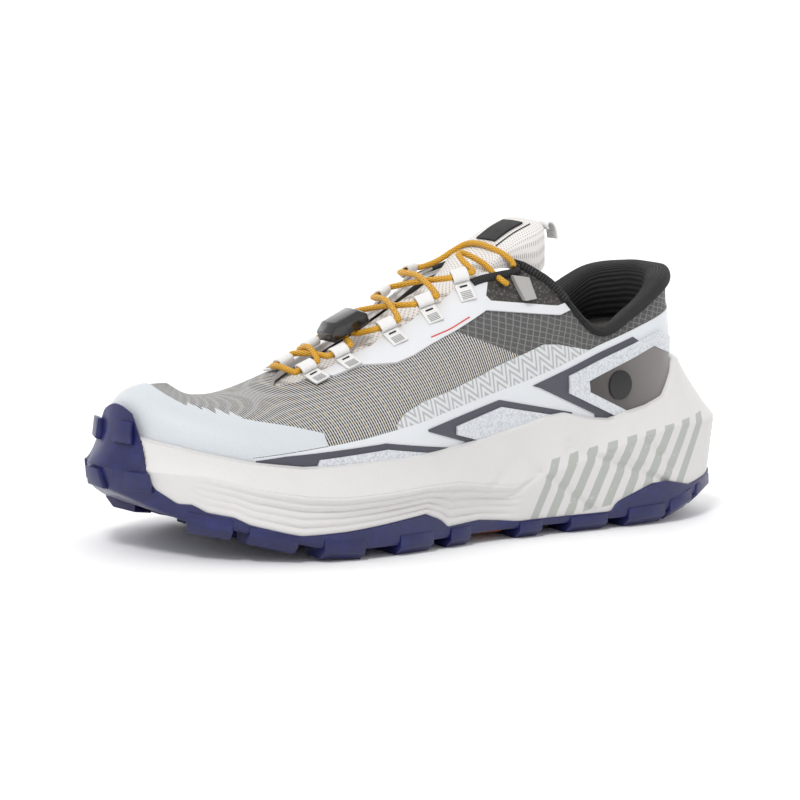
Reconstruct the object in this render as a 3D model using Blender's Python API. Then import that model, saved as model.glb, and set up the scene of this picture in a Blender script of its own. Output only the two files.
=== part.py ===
"""Trail running shoe, left foot, built from its own sizes.

The shoe is laid out in shoe coordinates: s runs from the heel flare to the toe
bumper, w from the middle line to the lateral side, z up from the floor, all in
millimetres. In the scene the toe points to -X, the lateral side faces -Y and the
origin is the middle of the bounding box on the floor.

The upper's skin is one surface. A ring of sections goes round the feather line,
where the upper meets the sole, and each section is a curve from the feather line
to the collar, the throat or the ridge of the toe box. Everything on the upper is
laid on that skin, and the sole's flange follows the same feather line.
"""

import math

import bmesh
import bpy
from mathutils import Matrix, Vector

MM = 0.001

# Driving sizes of the shoe, in millimetres
LENGTH = 308.0          # heel flare to toe bumper
BALL_WIDTH = 114.0      # widest width of the sole, at the ball
SOLE_HEIGHT = 50.0      # midsole rim beside the arch
COLLAR_HEIGHT = 110.0   # back of the collar above the floor
UPPER_WALL = 2.2        # mesh, foam and lining of the upper together
CLEAR = 0.3             # clearance between pieces that touch
SKIN_CLEAR = 0.7        # clearance between the curved upper and the sole round it
RECESS = 9.0            # depth of the footbed under the feather line
TUCK = 2.0              # how far the upper leans in under the feather line
RIM = 3.0               # flat top of the midsole's rim
FLANGE_SAG = 0.8        # hollow of the slope between the rim and the crest
UNDERCUT = 2.4          # step in, under the crest of the midsole
SIDE_DRAFT = 2.0        # lean of the side below the crest
RIB = 0.9               # height of the ribs on the side of the forefoot
RUBBER = 2.5            # outsole rubber without its lugs
RUBBER_STAND = 0.8      # rubber stands proud of the midsole's side
LUG = 4.5               # depth of the lugs
INSOLE = 4.0            # thickness of the insole
TONGUE = 3.5            # padded thickness of the tongue
FILM_CLEAR = 0.4        # clearance between the upper's facets and the films on it
FILM = 0.6              # film overlays on the upper
BAND = 0.5              # dark bands on the films
POD = 1.3               # raised pods on the films
PLATE = 1.6             # heel badge plate
DISC = 0.8              # plain disc on the heel badge
DISC_RADIUS = 6.5
EYESTAY = 0.9           # band round the throat
EYESTAY_REACH = 2.0     # eyestay past the mesh's edge, into the throat
SCALLOP = 6.5           # radius of the scallops between the lace loops
LIP = 5.0               # collar padding folded over the outside of the collar
COLLAR_PAD = 7.0        # thickness of the padding inside the collar
COLLAR_DEPTH = 24.0     # how far the padding reaches down inside
LACE = 2.6              # diameter of the round lace
WEBBING = 0.9           # thickness of the lace loops' webbing
LOOP_WIDTH = 7.0        # width of the lace loops' webbing
LOOP_TAIL = 9.0         # webbing stitched down on the eyestay
LOOP_BORE = 3.8         # bore of a lace loop
LUG_REACH = 14.0        # how far an edge lug reaches in from the side
LUG_STAND = 1.5         # edge lugs stand out of the rubber's side
LUG_RISE = 4.5          # edge lugs climb the side above the rubber's underside
CENTRE_LUG = 13.0       # width of the lugs inside the edge
PLATE_DEPTH = 1.6       # arch plate under the rubber
LOCK = (20.0, 11.5, 7.5)    # cord lock: length, width, height
LOCK_STAND = 4.5        # middle of the lock above the line between the loops
LABEL = 0.8             # label on the tongue
KEEPER = 2.2            # clip that holds the lace on the ankle

HALF_COLUMNS = 22       # mesh columns from the heel to the toe on one side
SKIN_ROWS = 6           # mesh rows from the feather line to the top edge
RUBBER_ROWS = 4         # mesh rows up the side of the rubber

# Rows round the upper, from the middle of the heel to the middle of the toe.
# along, centre and top_along are shares of LENGTH. The widths, the flange of the
# sole and the lengths of the curve's handles are shares of BALL_WIDTH. rise is a
# share of SOLE_HEIGHT and top_z of COLLAR_HEIGHT. The leans are degrees outward.
STATION_COLUMNS = (
    "along", "lateral", "medial", "rise", "centre", "flange_lateral", "flange_medial",
    "top_along", "top_lateral", "top_medial", "top_z", "low", "low_lean", "high", "high_lean",
)
STATIONS = (
    (0.081, 0.000, 0.000, 1.06, 0.179, 0.219, 0.219, 0.071, 0.000, 0.000, 1.000, 0.19, 10, 0.19, -4),
    (0.091, 0.158, 0.149, 1.04, 0.185, 0.217, 0.211, 0.084, 0.118, 0.110, 1.000, 0.19, 10, 0.19, -2),
    (0.133, 0.289, 0.263, 1.02, 0.185, 0.125, 0.126, 0.130, 0.245, 0.228, 0.968, 0.19, 10, 0.17, 2),
    (0.205, 0.333, 0.298, 0.98, 0.218, 0.084, 0.083, 0.195, 0.289, 0.272, 0.865, 0.19, 8, 0.14, 8),
    (0.289, 0.342, 0.298, 0.98, 0.289, 0.075, 0.068, 0.270, 0.298, 0.281, 0.795, 0.16, 6, 0.14, 14),
    (0.380, 0.351, 0.289, 1.00, 0.380, 0.067, 0.065, 0.354, 0.228, 0.228, 1.010, 0.21, 4, 0.21, 30),
    (0.458, 0.377, 0.298, 0.94, 0.458, 0.059, 0.068, 0.432, 0.000, 0.000, 1.100, 0.28, 2, 0.23, 78),
    (0.536, 0.412, 0.333, 0.88, 0.536, 0.060, 0.068, 0.516, 0.000, 0.000, 0.925, 0.26, 0, 0.225, 84),
    (0.617, 0.447, 0.377, 0.83, 0.617, 0.058, 0.065, 0.607, 0.000, 0.000, 0.765, 0.23, 0, 0.215, 88),
    (0.698, 0.447, 0.404, 0.80, 0.698, 0.075, 0.070, 0.698, -0.009, 0.009, 0.645, 0.19, 0, 0.19, 90),
    (0.779, 0.412, 0.404, 0.80, 0.769, 0.085, 0.069, 0.769, -0.018, 0.018, 0.560, 0.16, 0, 0.175, 90),
    (0.854, 0.333, 0.377, 0.84, 0.828, 0.073, 0.050, 0.828, -0.035, 0.035, 0.553, 0.14, 0, 0.165, 90),
    (0.912, 0.219, 0.316, 0.90, 0.867, 0.057, 0.040, 0.867, -0.053, 0.053, 0.570, 0.13, 0, 0.155, 90),
    (0.951, 0.079, 0.211, 0.96, 0.886, 0.074, 0.055, 0.886, -0.070, 0.070, 0.598, 0.13, 0, 0.145, 90),
    (0.964, -0.070, 0.070, 0.97, 0.893, 0.096, 0.096, 0.893, -0.070, 0.070, 0.610, 0.13, 0, 0.145, 90),
)

# Heights along the sole: share of LENGTH, then share of SOLE_HEIGHT
RIM_LINE = (
    (0.00, 1.44), (0.122, 1.44), (0.150, 1.13), (0.185, 1.06), (0.224, 1.02), (0.253, 0.97),
    (0.294, 0.99), (0.338, 1.05), (0.377, 1.03), (0.416, 0.98), (0.498, 0.90), (0.580, 0.84),
    (0.656, 0.81), (0.737, 0.79), (0.790, 0.78), (0.854, 0.82), (0.910, 0.89), (0.955, 0.96),
    (1.00, 0.96),
)
CREST_LINE = (
    (0.00, 0.90), (0.14, 0.88), (0.25, 0.74), (0.35, 0.58), (0.44, 0.48), (0.51, 0.54),
    (0.55, 0.58), (0.61, 0.58), (0.68, 0.56), (0.75, 0.55), (0.80, 0.57), (0.857, 0.62),
    (0.91, 0.70), (1.00, 0.72),
)
RUBBER_LINE = (
    (0.00, 0.42), (0.07, 0.36), (0.10, 0.33), (0.15, 0.39), (0.18, 0.38), (0.245, 0.24),
    (0.255, 0.16), (0.43, 0.16), (0.50, 0.21), (0.56, 0.19), (0.575, 0.26), (0.605, 0.33),
    (0.62, 0.32), (0.67, 0.29), (0.735, 0.25), (0.80, 0.23), (0.857, 0.30), (0.882, 0.38),
    (0.91, 0.41), (0.925, 0.50), (0.937, 0.47), (0.955, 0.60), (0.965, 0.90), (0.985, 1.16),
    (1.00, 1.20),
)
GROUND_LINE = (
    (0.00, 0.26), (0.09, 0.13), (0.15, 0.02), (0.17, 0.00), (0.72, 0.00), (0.77, 0.03),
    (0.81, 0.08), (0.87, 0.17), (0.93, 0.24), (0.96, 0.33), (0.985, 0.41), (1.00, 0.46),
)
RIB_LINE = (
    (0.00, 0.0), (0.42, 0.0), (0.46, 0.7), (0.52, 1.0), (0.80, 1.0), (0.90, 0.3), (0.93, 0.0),
    (1.00, 0.0),
)

# The collar's lip narrows between these stations, at the top of the throat
LIP_FADE = 4.8
LIP_END = 6.4

# Throat: station (rows counted from the heel) and half width as a share of BALL_WIDTH
THROAT_START = 5.35
THROAT_END = 9.6
THROAT = (
    (5.2, 0.185), (6.0, 0.170), (7.0, 0.145), (8.0, 0.128), (9.0, 0.102), (9.3, 0.080),
    (9.6, 0.010),
)


SIDES = {"lateral": 1, "medial": -1}


def colour(red, green, blue):
    return (red / 255, green / 255, blue / 255)


# Finishes: colour in sRGB, roughness, metallic
FINISHES = {
    "rubber_blue": (colour(38, 42, 112), 0.55, 0.0),
    "foam_white": (colour(238, 235, 234), 0.6, 0.0),
    "plate_brown": (colour(150, 85, 25), 0.4, 0.0),
    "mesh_grey": (colour(150, 148, 142), 0.8, 0.0),
    "film_grey": (colour(205, 209, 212), 0.5, 0.0),
    "film_white": (colour(232, 232, 232), 0.45, 0.0),
    "film_dark": (colour(72, 74, 84), 0.5, 0.0),
    "pod_silver": (colour(212, 216, 220), 0.35, 0.2),
    "plate_grey": (colour(112, 108, 108), 0.4, 0.1),
    "disc_black": (colour(18, 18, 18), 0.4, 0.0),
    "ripstop_grey": (colour(104, 102, 100), 0.7, 0.0),
    "knit_black": (colour(32, 31, 31), 0.9, 0.0),
    "tongue_white": (colour(224, 222, 220), 0.85, 0.0),
    "insole_grey": (colour(60, 60, 62), 0.9, 0.0),
    "lace_gold": (colour(222, 164, 42), 0.7, 0.0),
    "lock_black": (colour(24, 23, 22), 0.35, 0.0),
    "clip_grey": (colour(128, 126, 122), 0.4, 0.0),
}


def linear(value):
    return value / 12.92 if value <= 0.04045 else ((value + 0.055) / 1.055) ** 2.4


def material(name):
    if name in bpy.data.materials:
        return bpy.data.materials[name]
    shade, roughness, metallic = FINISHES[name]
    made = bpy.data.materials.new(name)
    made.use_nodes = True
    shader = made.node_tree.nodes["Principled BSDF"]
    shader.inputs["Base Color"].default_value = (*[linear(channel) for channel in shade], 1.0)
    shader.inputs["Roughness"].default_value = roughness
    shader.inputs["Metallic"].default_value = metallic
    made.diffuse_color = (*shade, 1.0)
    return made


def to_scene(point):
    """Shoe coordinates in millimetres to scene metres."""
    return Vector(((LENGTH / 2 - point.x) * MM, -point.y * MM, point.z * MM))


def mesh_object(name, points, faces, finish, smooth_angle=40):
    """One object from points in shoe coordinates, with its faces turned outward."""
    mesh = bpy.data.meshes.new(name)
    mesh.from_pydata([to_scene(point) for point in points], [], faces)
    work = bmesh.new()
    work.from_mesh(mesh)
    bmesh.ops.recalc_face_normals(work, faces=work.faces)
    work.to_mesh(mesh)
    work.free()
    mesh.shade_smooth()
    mesh.set_sharp_from_angle(angle=math.radians(smooth_angle))
    made = bpy.data.objects.new(name, mesh)
    bpy.context.collection.objects.link(made)
    made.data.materials.append(material(finish))
    return made


def combine(target, tool, operation):
    """Union, intersection or difference with a helper that is removed afterwards."""
    modifier = target.modifiers.new("cut", "BOOLEAN")
    modifier.operation = operation
    modifier.solver = "EXACT"
    modifier.object = tool
    bpy.context.view_layer.update()
    evaluated = target.evaluated_get(bpy.context.evaluated_depsgraph_get())
    result = bpy.data.meshes.new_from_object(evaluated)
    target.modifiers.remove(modifier)
    old = target.data
    target.data = result
    bpy.data.meshes.remove(old)
    tool_mesh = tool.data
    bpy.data.objects.remove(tool)
    bpy.data.meshes.remove(tool_mesh)
    return target


def drop_crumbs(target):
    """Keep the largest body of a cut, without the crumbs that a cut leaves at its edge."""
    work = bmesh.new()
    work.from_mesh(target.data)
    waiting = set(work.verts)
    bodies = []
    while waiting:
        body = {waiting.pop()}
        edge = list(body)
        while edge:
            near = {link.other_vert(point) for point in edge for link in point.link_edges} - body
            body |= near
            edge = list(near)
        waiting -= body
        bodies.append(body)
    largest = max(bodies, key=len)
    crumbs = [point for point in work.verts if point not in largest]
    bmesh.ops.delete(work, geom=crumbs, context="VERTS")
    work.to_mesh(target.data)
    work.free()
    return target


def blend(table, value):
    """Straight interpolation in a table of (position, value) rows."""
    if value <= table[0][0]:
        return table[0][1]
    for (start, low), (end, high) in zip(table, table[1:]):
        if value <= end:
            return low + (high - low) * (value - start) / (end - start)
    return table[-1][1]


def level(table, s):
    return blend(table, s / LENGTH) * SOLE_HEIGHT


def ring_rows():
    """The table's rows in millimetres, as a closed ring: lateral to the toe, medial back."""
    named = [dict(zip(STATION_COLUMNS, row)) for row in STATIONS]
    last = len(named) - 1
    order = [(row, "lateral", 1) for row in named]
    order += [(named[index], "medial", -1) for index in range(last - 1, 0, -1)]
    ring = []
    for row, side, sign in order:
        ring.append((
            row["along"] * LENGTH, sign * row[side] * BALL_WIDTH, row["rise"] * SOLE_HEIGHT,
            row["centre"] * LENGTH, row["flange_" + side] * BALL_WIDTH,
            row["top_along"] * LENGTH, sign * row["top_" + side] * BALL_WIDTH,
            row["top_z"] * COLLAR_HEIGHT, row["low"] * BALL_WIDTH, row["low_lean"],
            row["high"] * BALL_WIDTH, row["high_lean"],
        ))
    return ring


RING = ring_rows()
TURN = len(RING)
TOE = TURN / 2


def smooth_row(v):
    """Catmull-Rom through the ring's rows at position v."""
    first = math.floor(v)
    part = v - first
    before, here, after, beyond = (RING[(first + step) % TURN] for step in (-1, 0, 1, 2))
    return [
        0.5 * (2 * b + (c - a) * part + (2 * a - 5 * b + 4 * c - d) * part ** 2
               + (3 * b - a - 3 * c + d) * part ** 3)
        for a, b, c, d in zip(before, here, after, beyond)
    ]


def section(v):
    """Curve of the skin at v: its four control points and the outward direction."""
    s, w, rise, centre, _, top_s, top_w, top_z, low, low_lean, high, high_lean = smooth_row(v)
    foot = Vector((s, w, rise))
    top = Vector((top_s, top_w, top_z))
    out = Vector((s - centre, w, 0)).normalized()
    up = Vector((0, 0, 1))
    low_lean = math.radians(low_lean)
    high_lean = math.radians(high_lean)
    second = foot + low * (out * math.sin(low_lean) + up * math.cos(low_lean))
    third = top + high * (out * math.sin(high_lean) - up * math.cos(high_lean))
    return foot, second, third, top, out


def curve_point(v, t):
    """Point of the skin: t is 0 at the feather line, 1 at the top, -1 at the footbed."""
    foot, second, third, top, out = section(v)
    if t < 0:
        return foot - (out * TUCK + Vector((0, 0, RECESS))) * -t
    back = 1 - t
    return foot * back ** 3 + second * 3 * t * back ** 2 + third * 3 * t ** 2 * back + top * t ** 3


def skin(v, t, lift=0.0):
    """Point of the skin, lifted off it along its outward normal."""
    here = curve_point(v, t)
    if lift == 0:
        return here
    step = 0.02
    round_way = curve_point(v + step, t) - curve_point(v - step, t)
    low = t - step if t > step or t <= 0 else 0.0
    high = t + step if t < 0 or t >= 0 and t <= 1 - step else t
    up_way = curve_point(v, max(high, low + step)) - curve_point(v, low)
    normal = up_way.cross(round_way).normalized()
    outward = section(v)[4] + Vector((0, 0, 1.5 if t > 0.5 else 0.0))
    if normal.dot(outward) < 0:
        normal.negate()
    return here + normal * lift


def find(test, low, high):
    """Value between low and high where test turns true."""
    for _ in range(30):
        middle = (low + high) / 2
        if test(middle):
            high = middle
        else:
            low = middle
    return (low + high) / 2


def at_height(v, z):
    """Place on the section at v that lies at height z."""
    return find(lambda t: curve_point(v, t).z > z, -1.0, 0.98)


def station(v):
    """Rows from the heel, on either side."""
    return v if v <= TOE else TURN - v


def top_edge(v):
    """Where the mesh wall ends: at the collar, at the throat's edge or at the ridge."""
    if not THROAT_START <= station(v) <= THROAT_END:
        return 1.0
    half = blend(THROAT, station(v)) * BALL_WIDTH
    if abs(curve_point(v, 1.0).y) >= half:
        return 1.0
    return find(lambda t: abs(curve_point(v, t).y) < half, 0.3, 1.0)


def column_places():
    """Places of the columns, spaced evenly along the feather line."""
    fine = [index * TOE / 400 for index in range(401)]
    lengths = [0.0]
    for before, here in zip(fine, fine[1:]):
        lengths.append(lengths[-1] + (curve_point(here, 0) - curve_point(before, 0)).length)
    places = []
    for column in range(HALF_COLUMNS + 1):
        goal = lengths[-1] * column / HALF_COLUMNS
        index = next(number for number, length in enumerate(lengths) if length >= goal - 1e-6)
        places.append(fine[index])
    nearest = min(range(len(places)), key=lambda column: abs(places[column] - THROAT_END))
    places[nearest] = THROAT_END + 0.05
    return places + [TURN - place for place in reversed(places[1:-1])]


COLUMNS = column_places()
ROUND = len(COLUMNS)
TOE_COLUMN = ROUND // 2


def across(ring_start):
    """Strips that close a ring, between its lateral and its medial half."""
    faces = []
    for index in range(TOE_COLUMN):
        lateral, ahead = index, index + 1
        other, other_ahead = -index % ROUND, -(index + 1) % ROUND
        corners = [lateral, ahead, other_ahead, other]
        corners = [ring_start + corner for corner in dict.fromkeys(corners)]
        faces.append(tuple(corners))
    return faces


def stack(rings):
    """Points and faces of a closed body from rings, closed across its first and last."""
    points = [point for ring in rings for point in ring]
    faces = []
    for number in range(len(rings) - 1):
        for index in range(ROUND):
            after = (index + 1) % ROUND
            low = number * ROUND
            high = low + ROUND
            faces.append((low + index, low + after, high + after, high + index))
    faces += across(0)
    faces += across((len(rings) - 1) * ROUND)
    return points, [part for face in faces for part in halves(face)]


def halves(face):
    """A quad's two triangles, always along the same diagonal."""
    if len(face) == 3:
        return [face]
    return [(face[0], face[1], face[2]), (face[0], face[2], face[3])]


def outline(v, inset=0.0):
    """Point of the sole's widest outline, seen from above."""
    row = smooth_row(v)
    foot = Vector((row[0], row[1], 0))
    out = Vector((row[0] - row[3], row[1], 0)).normalized()
    return foot + out * (row[4] - inset)


def rim_height(v):
    return level(RIM_LINE, curve_point(v, 0).x)


def flank(v, z, out=0.0):
    """Side of the midsole at height z, moved outward by out."""
    edge = outline(v)
    outward = section(v)[4]
    crest = level(CREST_LINE, edge.x)
    rim = rim_height(v)
    if z > rim:
        return skin(v, at_height(v, z), SKIN_CLEAR + RIM + out)
    if z >= crest:
        top = skin(v, at_height(v, rim), SKIN_CLEAR + RIM)
        share = (z - crest) / max(rim - crest, 1.0)
        point = edge.lerp(top, share)
        sag = FLANGE_SAG * math.sin(math.pi * share)
        return Vector((point.x, point.y, z)) + outward * (out - sag)
    base = base_height(edge.x)
    share = (crest - z) / max(crest - base, 1.0)
    step = UNDERCUT * min(1.0, share * 3) * blend(RIB_LINE, edge.x / LENGTH)
    inset = step + SIDE_DRAFT * share
    return Vector((edge.x, edge.y, z)) + outward * (out - inset)


def base_height(s):
    """Underside of the rubber between the lugs."""
    return level(GROUND_LINE, s) + LUG


def on_base(v, height, out):
    """Point of the side at a height over the underside of the rubber."""
    point = flank(v, base_height(outline(v).x) + height, out)
    return Vector((point.x, point.y, base_height(point.x) + height))


def rubber_height(v):
    """Upper edge of the rubber on the side of the sole."""
    s = outline(v).x
    return max(level(RUBBER_LINE, s), base_height(s) + RUBBER + 1.0)


def skin_rows(v, edge):
    """The upper's rows at v, from the feather line to its edge; one runs under the lip."""
    if station(v) >= LIP_END:
        return [row / SKIN_ROWS * edge for row in range(SKIN_ROWS + 1)]
    drop = blend(((LIP_FADE, LIP + FILM_CLEAR), (LIP_END, 0.8)), station(v))
    lip = drop_place(v, edge, drop)
    return [row / (SKIN_ROWS - 1) * lip for row in range(SKIN_ROWS)] + [edge]


def sheet(name, places, low, high, finish):
    """Closed sheet over the skin between two lifts; places gives the rows at a column."""
    points = []
    index_of = {}
    rows = len(places[0])
    for layer, lift in enumerate((low, high)):
        for column, v in enumerate(COLUMNS):
            for number, t in enumerate(places[column]):
                mirror = (layer, -column % ROUND, number)
                if station(v) > THROAT_END and number == rows - 1 and mirror in index_of:
                    index_of[layer, column, number] = index_of[mirror]
                    continue
                index_of[layer, column, number] = len(points)
                points.append(skin(v, t, lift))
    faces = []

    def face(*keys):
        corners = tuple(dict.fromkeys(index_of[key] for key in keys))
        if len(corners) > 2:
            faces.extend(halves(corners))

    for column in range(ROUND):
        after = (column + 1) % ROUND
        for number in range(rows - 1):
            for layer in (0, 1):
                face((layer, column, number), (layer, after, number),
                     (layer, after, number + 1), (layer, column, number + 1))
        face((0, column, 0), (0, after, 0), (1, after, 0), (1, column, 0))
        joined = station(COLUMNS[column]) > THROAT_END and station(COLUMNS[after]) > THROAT_END
        if not joined:
            top = rows - 1
            face((0, column, top), (0, after, top), (1, after, top), (1, column, top))
    return mesh_object(name, points, faces, finish)


def make_upper():
    """Hollow wall of mesh, open at the collar, the throat and underneath."""
    low = -1 + CLEAR / RECESS
    places = [[low, *skin_rows(v, top_edge(v))] for v in COLUMNS]
    return sheet("upper", places, 0.0, -UPPER_WALL, "mesh_grey")


def drop_place(v, edge, drop):
    """Place on the section at v that lies a length below its edge."""
    top = curve_point(v, edge)
    return find(lambda t: (curve_point(v, t) - top).length < drop, 0.0, edge)


def film_places(reach=0.0):
    """Rows of the films: from the rim of the sole to the collar's lip or the throat."""
    places = []
    for v in COLUMNS:
        edge = top_edge(v)
        rows = skin_rows(v, edge)
        start = at_height(v, rim_height(v) + FILM_CLEAR)
        if station(v) < LIP_END:
            rows[-1] = rows[-2] + 0.004
        elif edge < 1.0:
            rows[-1] = min(1.0, edge + reach / BALL_WIDTH)
        places.append([max(t, start + 0.01 * number) for number, t in enumerate(rows)])
    return places


def prism(outline_points, side, margin=0.0):
    """Cutter through the shoe from an outline seen from the side: along, up."""
    corners = shrink([Vector((s * LENGTH, z * COLLAR_HEIGHT)) for s, z in outline_points], margin)
    near, far = {"both": (-1, 1), "lateral": (0.06, 1), "medial": (-1, -0.06)}[side]
    points = [Vector((corner.x, reach * BALL_WIDTH, corner.y)) for reach in (near, far)
              for corner in corners]
    count = len(corners)
    faces = [tuple(range(count)), tuple(range(2 * count - 1, count - 1, -1))]
    faces += [(index, (index + 1) % count, (index + 1) % count + count, index + count)
              for index in range(count)]
    return mesh_object("cutter", points, faces, "film_grey")


def shrink(corners, margin):
    """Outline moved inward by a margin, corner by corner."""
    count = len(corners)
    area = sum(a.x * b.y - b.x * a.y for a, b in zip(corners, corners[1:] + corners[:1]))
    turn = 1 if area > 0 else -1
    moved = []
    for index in range(count):
        before, here, after = corners[index - 1], corners[index], corners[(index + 1) % count]
        first = (here - before).normalized()
        second = (after - here).normalized()
        inward = [Vector((-side.y, side.x)) * turn for side in (first, second)]
        middle = (inward[0] + inward[1]).normalized()
        moved.append(here + middle * margin / max(middle.dot(inward[0]), 0.35))
    return moved


# Outlines of the overlays from the side: share of LENGTH, share of COLLAR_HEIGHT
CAGE_TOP = (
    (0.851, 0.385), (0.734, 0.430), (0.700, 0.443), (0.664, 0.462), (0.646, 0.471),
    (0.602, 0.493), (0.515, 0.547), (0.412, 0.610), (0.360, 0.649), (0.286, 0.713),
    (0.137, 0.838), (0.085, 0.870), (-0.03, 0.870),
)
CHEVRON_TOP = (
    (0.286, 0.713), (0.347, 0.744), (0.373, 0.747), (0.412, 0.713), (0.456, 0.676),
    (0.489, 0.644), (0.552, 0.591), (0.597, 0.562), (0.631, 0.524), (0.646, 0.490),
)
TOOTH_POINTS = ((0.907, 0.550), (0.891, 0.538), (0.878, 0.527), (0.862, 0.522), (0.848, 0.512))
OUTLINES = {
    "toe_cap": (
        (1.02, 0.25), (1.02, 0.75), (0.928, 0.75), (0.919, 0.588),
        *(corner for along, up in TOOTH_POINTS
          for corner in ((along + 0.006, up + 0.018), (along - 0.003, up - 0.002))),
        (0.829, 0.502), (0.789, 0.486), (0.750, 0.463), (0.734, 0.432), (0.851, 0.387),
        (0.853, 0.25),
    ),
    "cage": (*CAGE_TOP, (-0.03, 0.25), (0.851, 0.25)),
    "chevron": (*CHEVRON_TOP, *CAGE_TOP[4:9]),
    "ankle_panel": (
        (0.300, 0.912), (0.339, 0.890), (0.444, 0.912), (0.448, 0.930), (0.427, 1.020),
        (0.420, 1.200), (0.280, 1.200),
    ),
    "eyestay": (
        (0.770, 0.530), (0.718, 0.616), (0.700, 0.640), (0.685, 0.638), (0.645, 0.678),
        (0.606, 0.692), (0.580, 0.718), (0.551, 0.755), (0.508, 0.806), (0.455, 0.879),
        (0.336, 0.855), (0.300, 0.882), (0.300, 0.912), (0.339, 0.890), (0.444, 0.912),
        (0.448, 0.930), (0.427, 1.020), (0.420, 1.300), (0.775, 1.300),
    ),
    "band_fore": (
        (0.849, 0.376), (0.813, 0.392), (0.680, 0.423), (0.670, 0.426), (0.558, 0.388),
        (0.558, 0.300), (0.597, 0.300), (0.597, 0.378), (0.668, 0.403), (0.769, 0.378),
        (0.780, 0.300), (0.849, 0.300),
    ),
    "pod_fore": ((0.769, 0.378), (0.668, 0.403), (0.597, 0.378), (0.597, 0.300), (0.780, 0.300)),
    "band_mid": (
        (0.602, 0.461), (0.460, 0.548), (0.321, 0.475), (0.321, 0.400), (0.352, 0.400),
        (0.355, 0.470), (0.458, 0.521), (0.545, 0.465), (0.545, 0.433), (0.505, 0.405),
        (0.505, 0.300), (0.524, 0.300), (0.524, 0.400),
    ),
    "pod_mid": (
        (0.458, 0.521), (0.355, 0.470), (0.352, 0.300), (0.505, 0.300), (0.505, 0.405),
        (0.545, 0.433), (0.545, 0.465),
    ),
    "band_rear": (
        (0.397, 0.592), (0.204, 0.757), (0.193, 0.740), (0.331, 0.621), (0.330, 0.552),
        (0.236, 0.444), (0.236, 0.350), (0.262, 0.350), (0.278, 0.461), (0.384, 0.582),
    ),
    "pod_rear": (
        (0.330, 0.552), (0.331, 0.621), (0.193, 0.740), (0.150, 0.775), (0.122, 0.745),
        (0.128, 0.680), (0.152, 0.702), (0.165, 0.716), (0.294, 0.595), (0.292, 0.552),
        (0.207, 0.453), (0.207, 0.350), (0.236, 0.350), (0.236, 0.444),
    ),
    "keeper": ((0.402, 1.012), (0.378, 1.004), (0.376, 0.922), (0.396, 0.914)),
    "badge": (
        (0.294, 0.595), (0.165, 0.716), (0.152, 0.702), (0.128, 0.680), (0.128, 0.400),
        (0.207, 0.400), (0.207, 0.453), (0.292, 0.552),
    ),
}
DISC_PLACE = (0.236, 0.572)
COLLAR_END = 5.2        # station where the collar padding ends, at the top of the throat
HEEL_LIP = 11.0         # the padding's lip at the back of the heel
LOCK_GAP = 1            # the cord lock sits between this pair of loops and the next
LOOP_STATIONS = (9.05, 8.50, 7.71, 7.06, 6.42)


def overlay(name, outline_name, side, places, low, thickness, finish):
    """Piece of a sheet over the skin, cut to its outline from the side."""
    piece = sheet(name, places, low, low + thickness, finish)
    return combine(piece, prism(OUTLINES[outline_name], side, FILM_CLEAR / 2), "INTERSECT")


def make_overlays():
    films = film_places()
    first = FILM_CLEAR
    second = first + FILM + CLEAR
    overlay("toe_cap", "toe_cap", "both", films, first, FILM, "film_grey")
    overlay("cage", "cage", "both", films, first, FILM, "film_white")
    for side in SIDES:
        overlay("chevron_" + side, "chevron", side, films, first, FILM, "film_grey")
        overlay("ankle_panel_" + side, "ankle_panel", side, films, first, FILM, "ripstop_grey")
        for part in ("fore", "mid", "rear"):
            overlay("band_" + part + "_" + side, "band_" + part, side, films, second, BAND, "film_dark")
            overlay("pod_" + part + "_" + side, "pod_" + part, side, films, second, POD, "pod_silver")
        overlay("badge_" + side, "badge", side, films, second, PLATE, "plate_grey")
        make_disc(side, films, second + PLATE + CLEAR)


def make_disc(side, places, low):
    disc = sheet("disc_" + side, places, low, low + DISC, "disc_black")
    along, up = DISC_PLACE
    turns = [math.tau * step / 10 for step in range(10)]
    circle = [(along + DISC_RADIUS * math.cos(turn) / LENGTH,
               up + DISC_RADIUS * math.sin(turn) / COLLAR_HEIGHT) for turn in turns]
    return combine(disc, prism(circle, side), "INTERSECT")


def make_eyestay():
    """Band round the throat, with a scallop between each two lace loops."""
    places = film_places(EYESTAY_REACH)
    eyestay = sheet("eyestay", places, FILM_CLEAR, FILM_CLEAR + EYESTAY, "film_white")
    combine(eyestay, prism(OUTLINES["eyestay"], "both", FILM_CLEAR / 2), "INTERSECT")
    for before, after in zip(LOOP_STATIONS, LOOP_STATIONS[1:]):
        middle = (before + after) / 2
        for v in (middle, TURN - middle):
            edge = curve_point(v, top_edge(v))
            inward = SCALLOP - 2.5 + EYESTAY_REACH
            centre = edge - Vector((0, math.copysign(inward, edge.y), 0))
            combine(eyestay, round_cutter(centre, SCALLOP), "DIFFERENCE")
    return eyestay


def round_cutter(centre, radius, sides=8):
    """Upright cylinder through the shoe at a point."""
    turns = [math.tau * (step + 0.5) / sides for step in range(sides)]
    points = [Vector((centre.x + radius * math.cos(turn), centre.y + radius * math.sin(turn), z))
              for z in (centre.z - 30, centre.z + 30) for turn in turns]
    faces = [tuple(range(sides)), tuple(range(2 * sides - 1, sides - 1, -1))]
    faces += [(step, (step + 1) % sides, (step + 1) % sides + sides, step + sides)
              for step in range(sides)]
    return mesh_object("cutter", points, faces, "film_grey")


def seat_ring(inset, lift):
    """Ring on the footbed, inside the upper."""
    ring = []
    for v in COLUMNS:
        point = curve_point(v, -1)
        point = point - section(v)[4] * inset
        ring.append(point + Vector((0, 0, lift)))
    return ring


def make_insole():
    inset = UPPER_WALL + 1.0
    rings = [seat_ring(inset, CLEAR), seat_ring(inset, CLEAR + INSOLE)]
    points, faces = stack(rings)
    return mesh_object("insole", points, faces, "insole_grey", 30)


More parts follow.
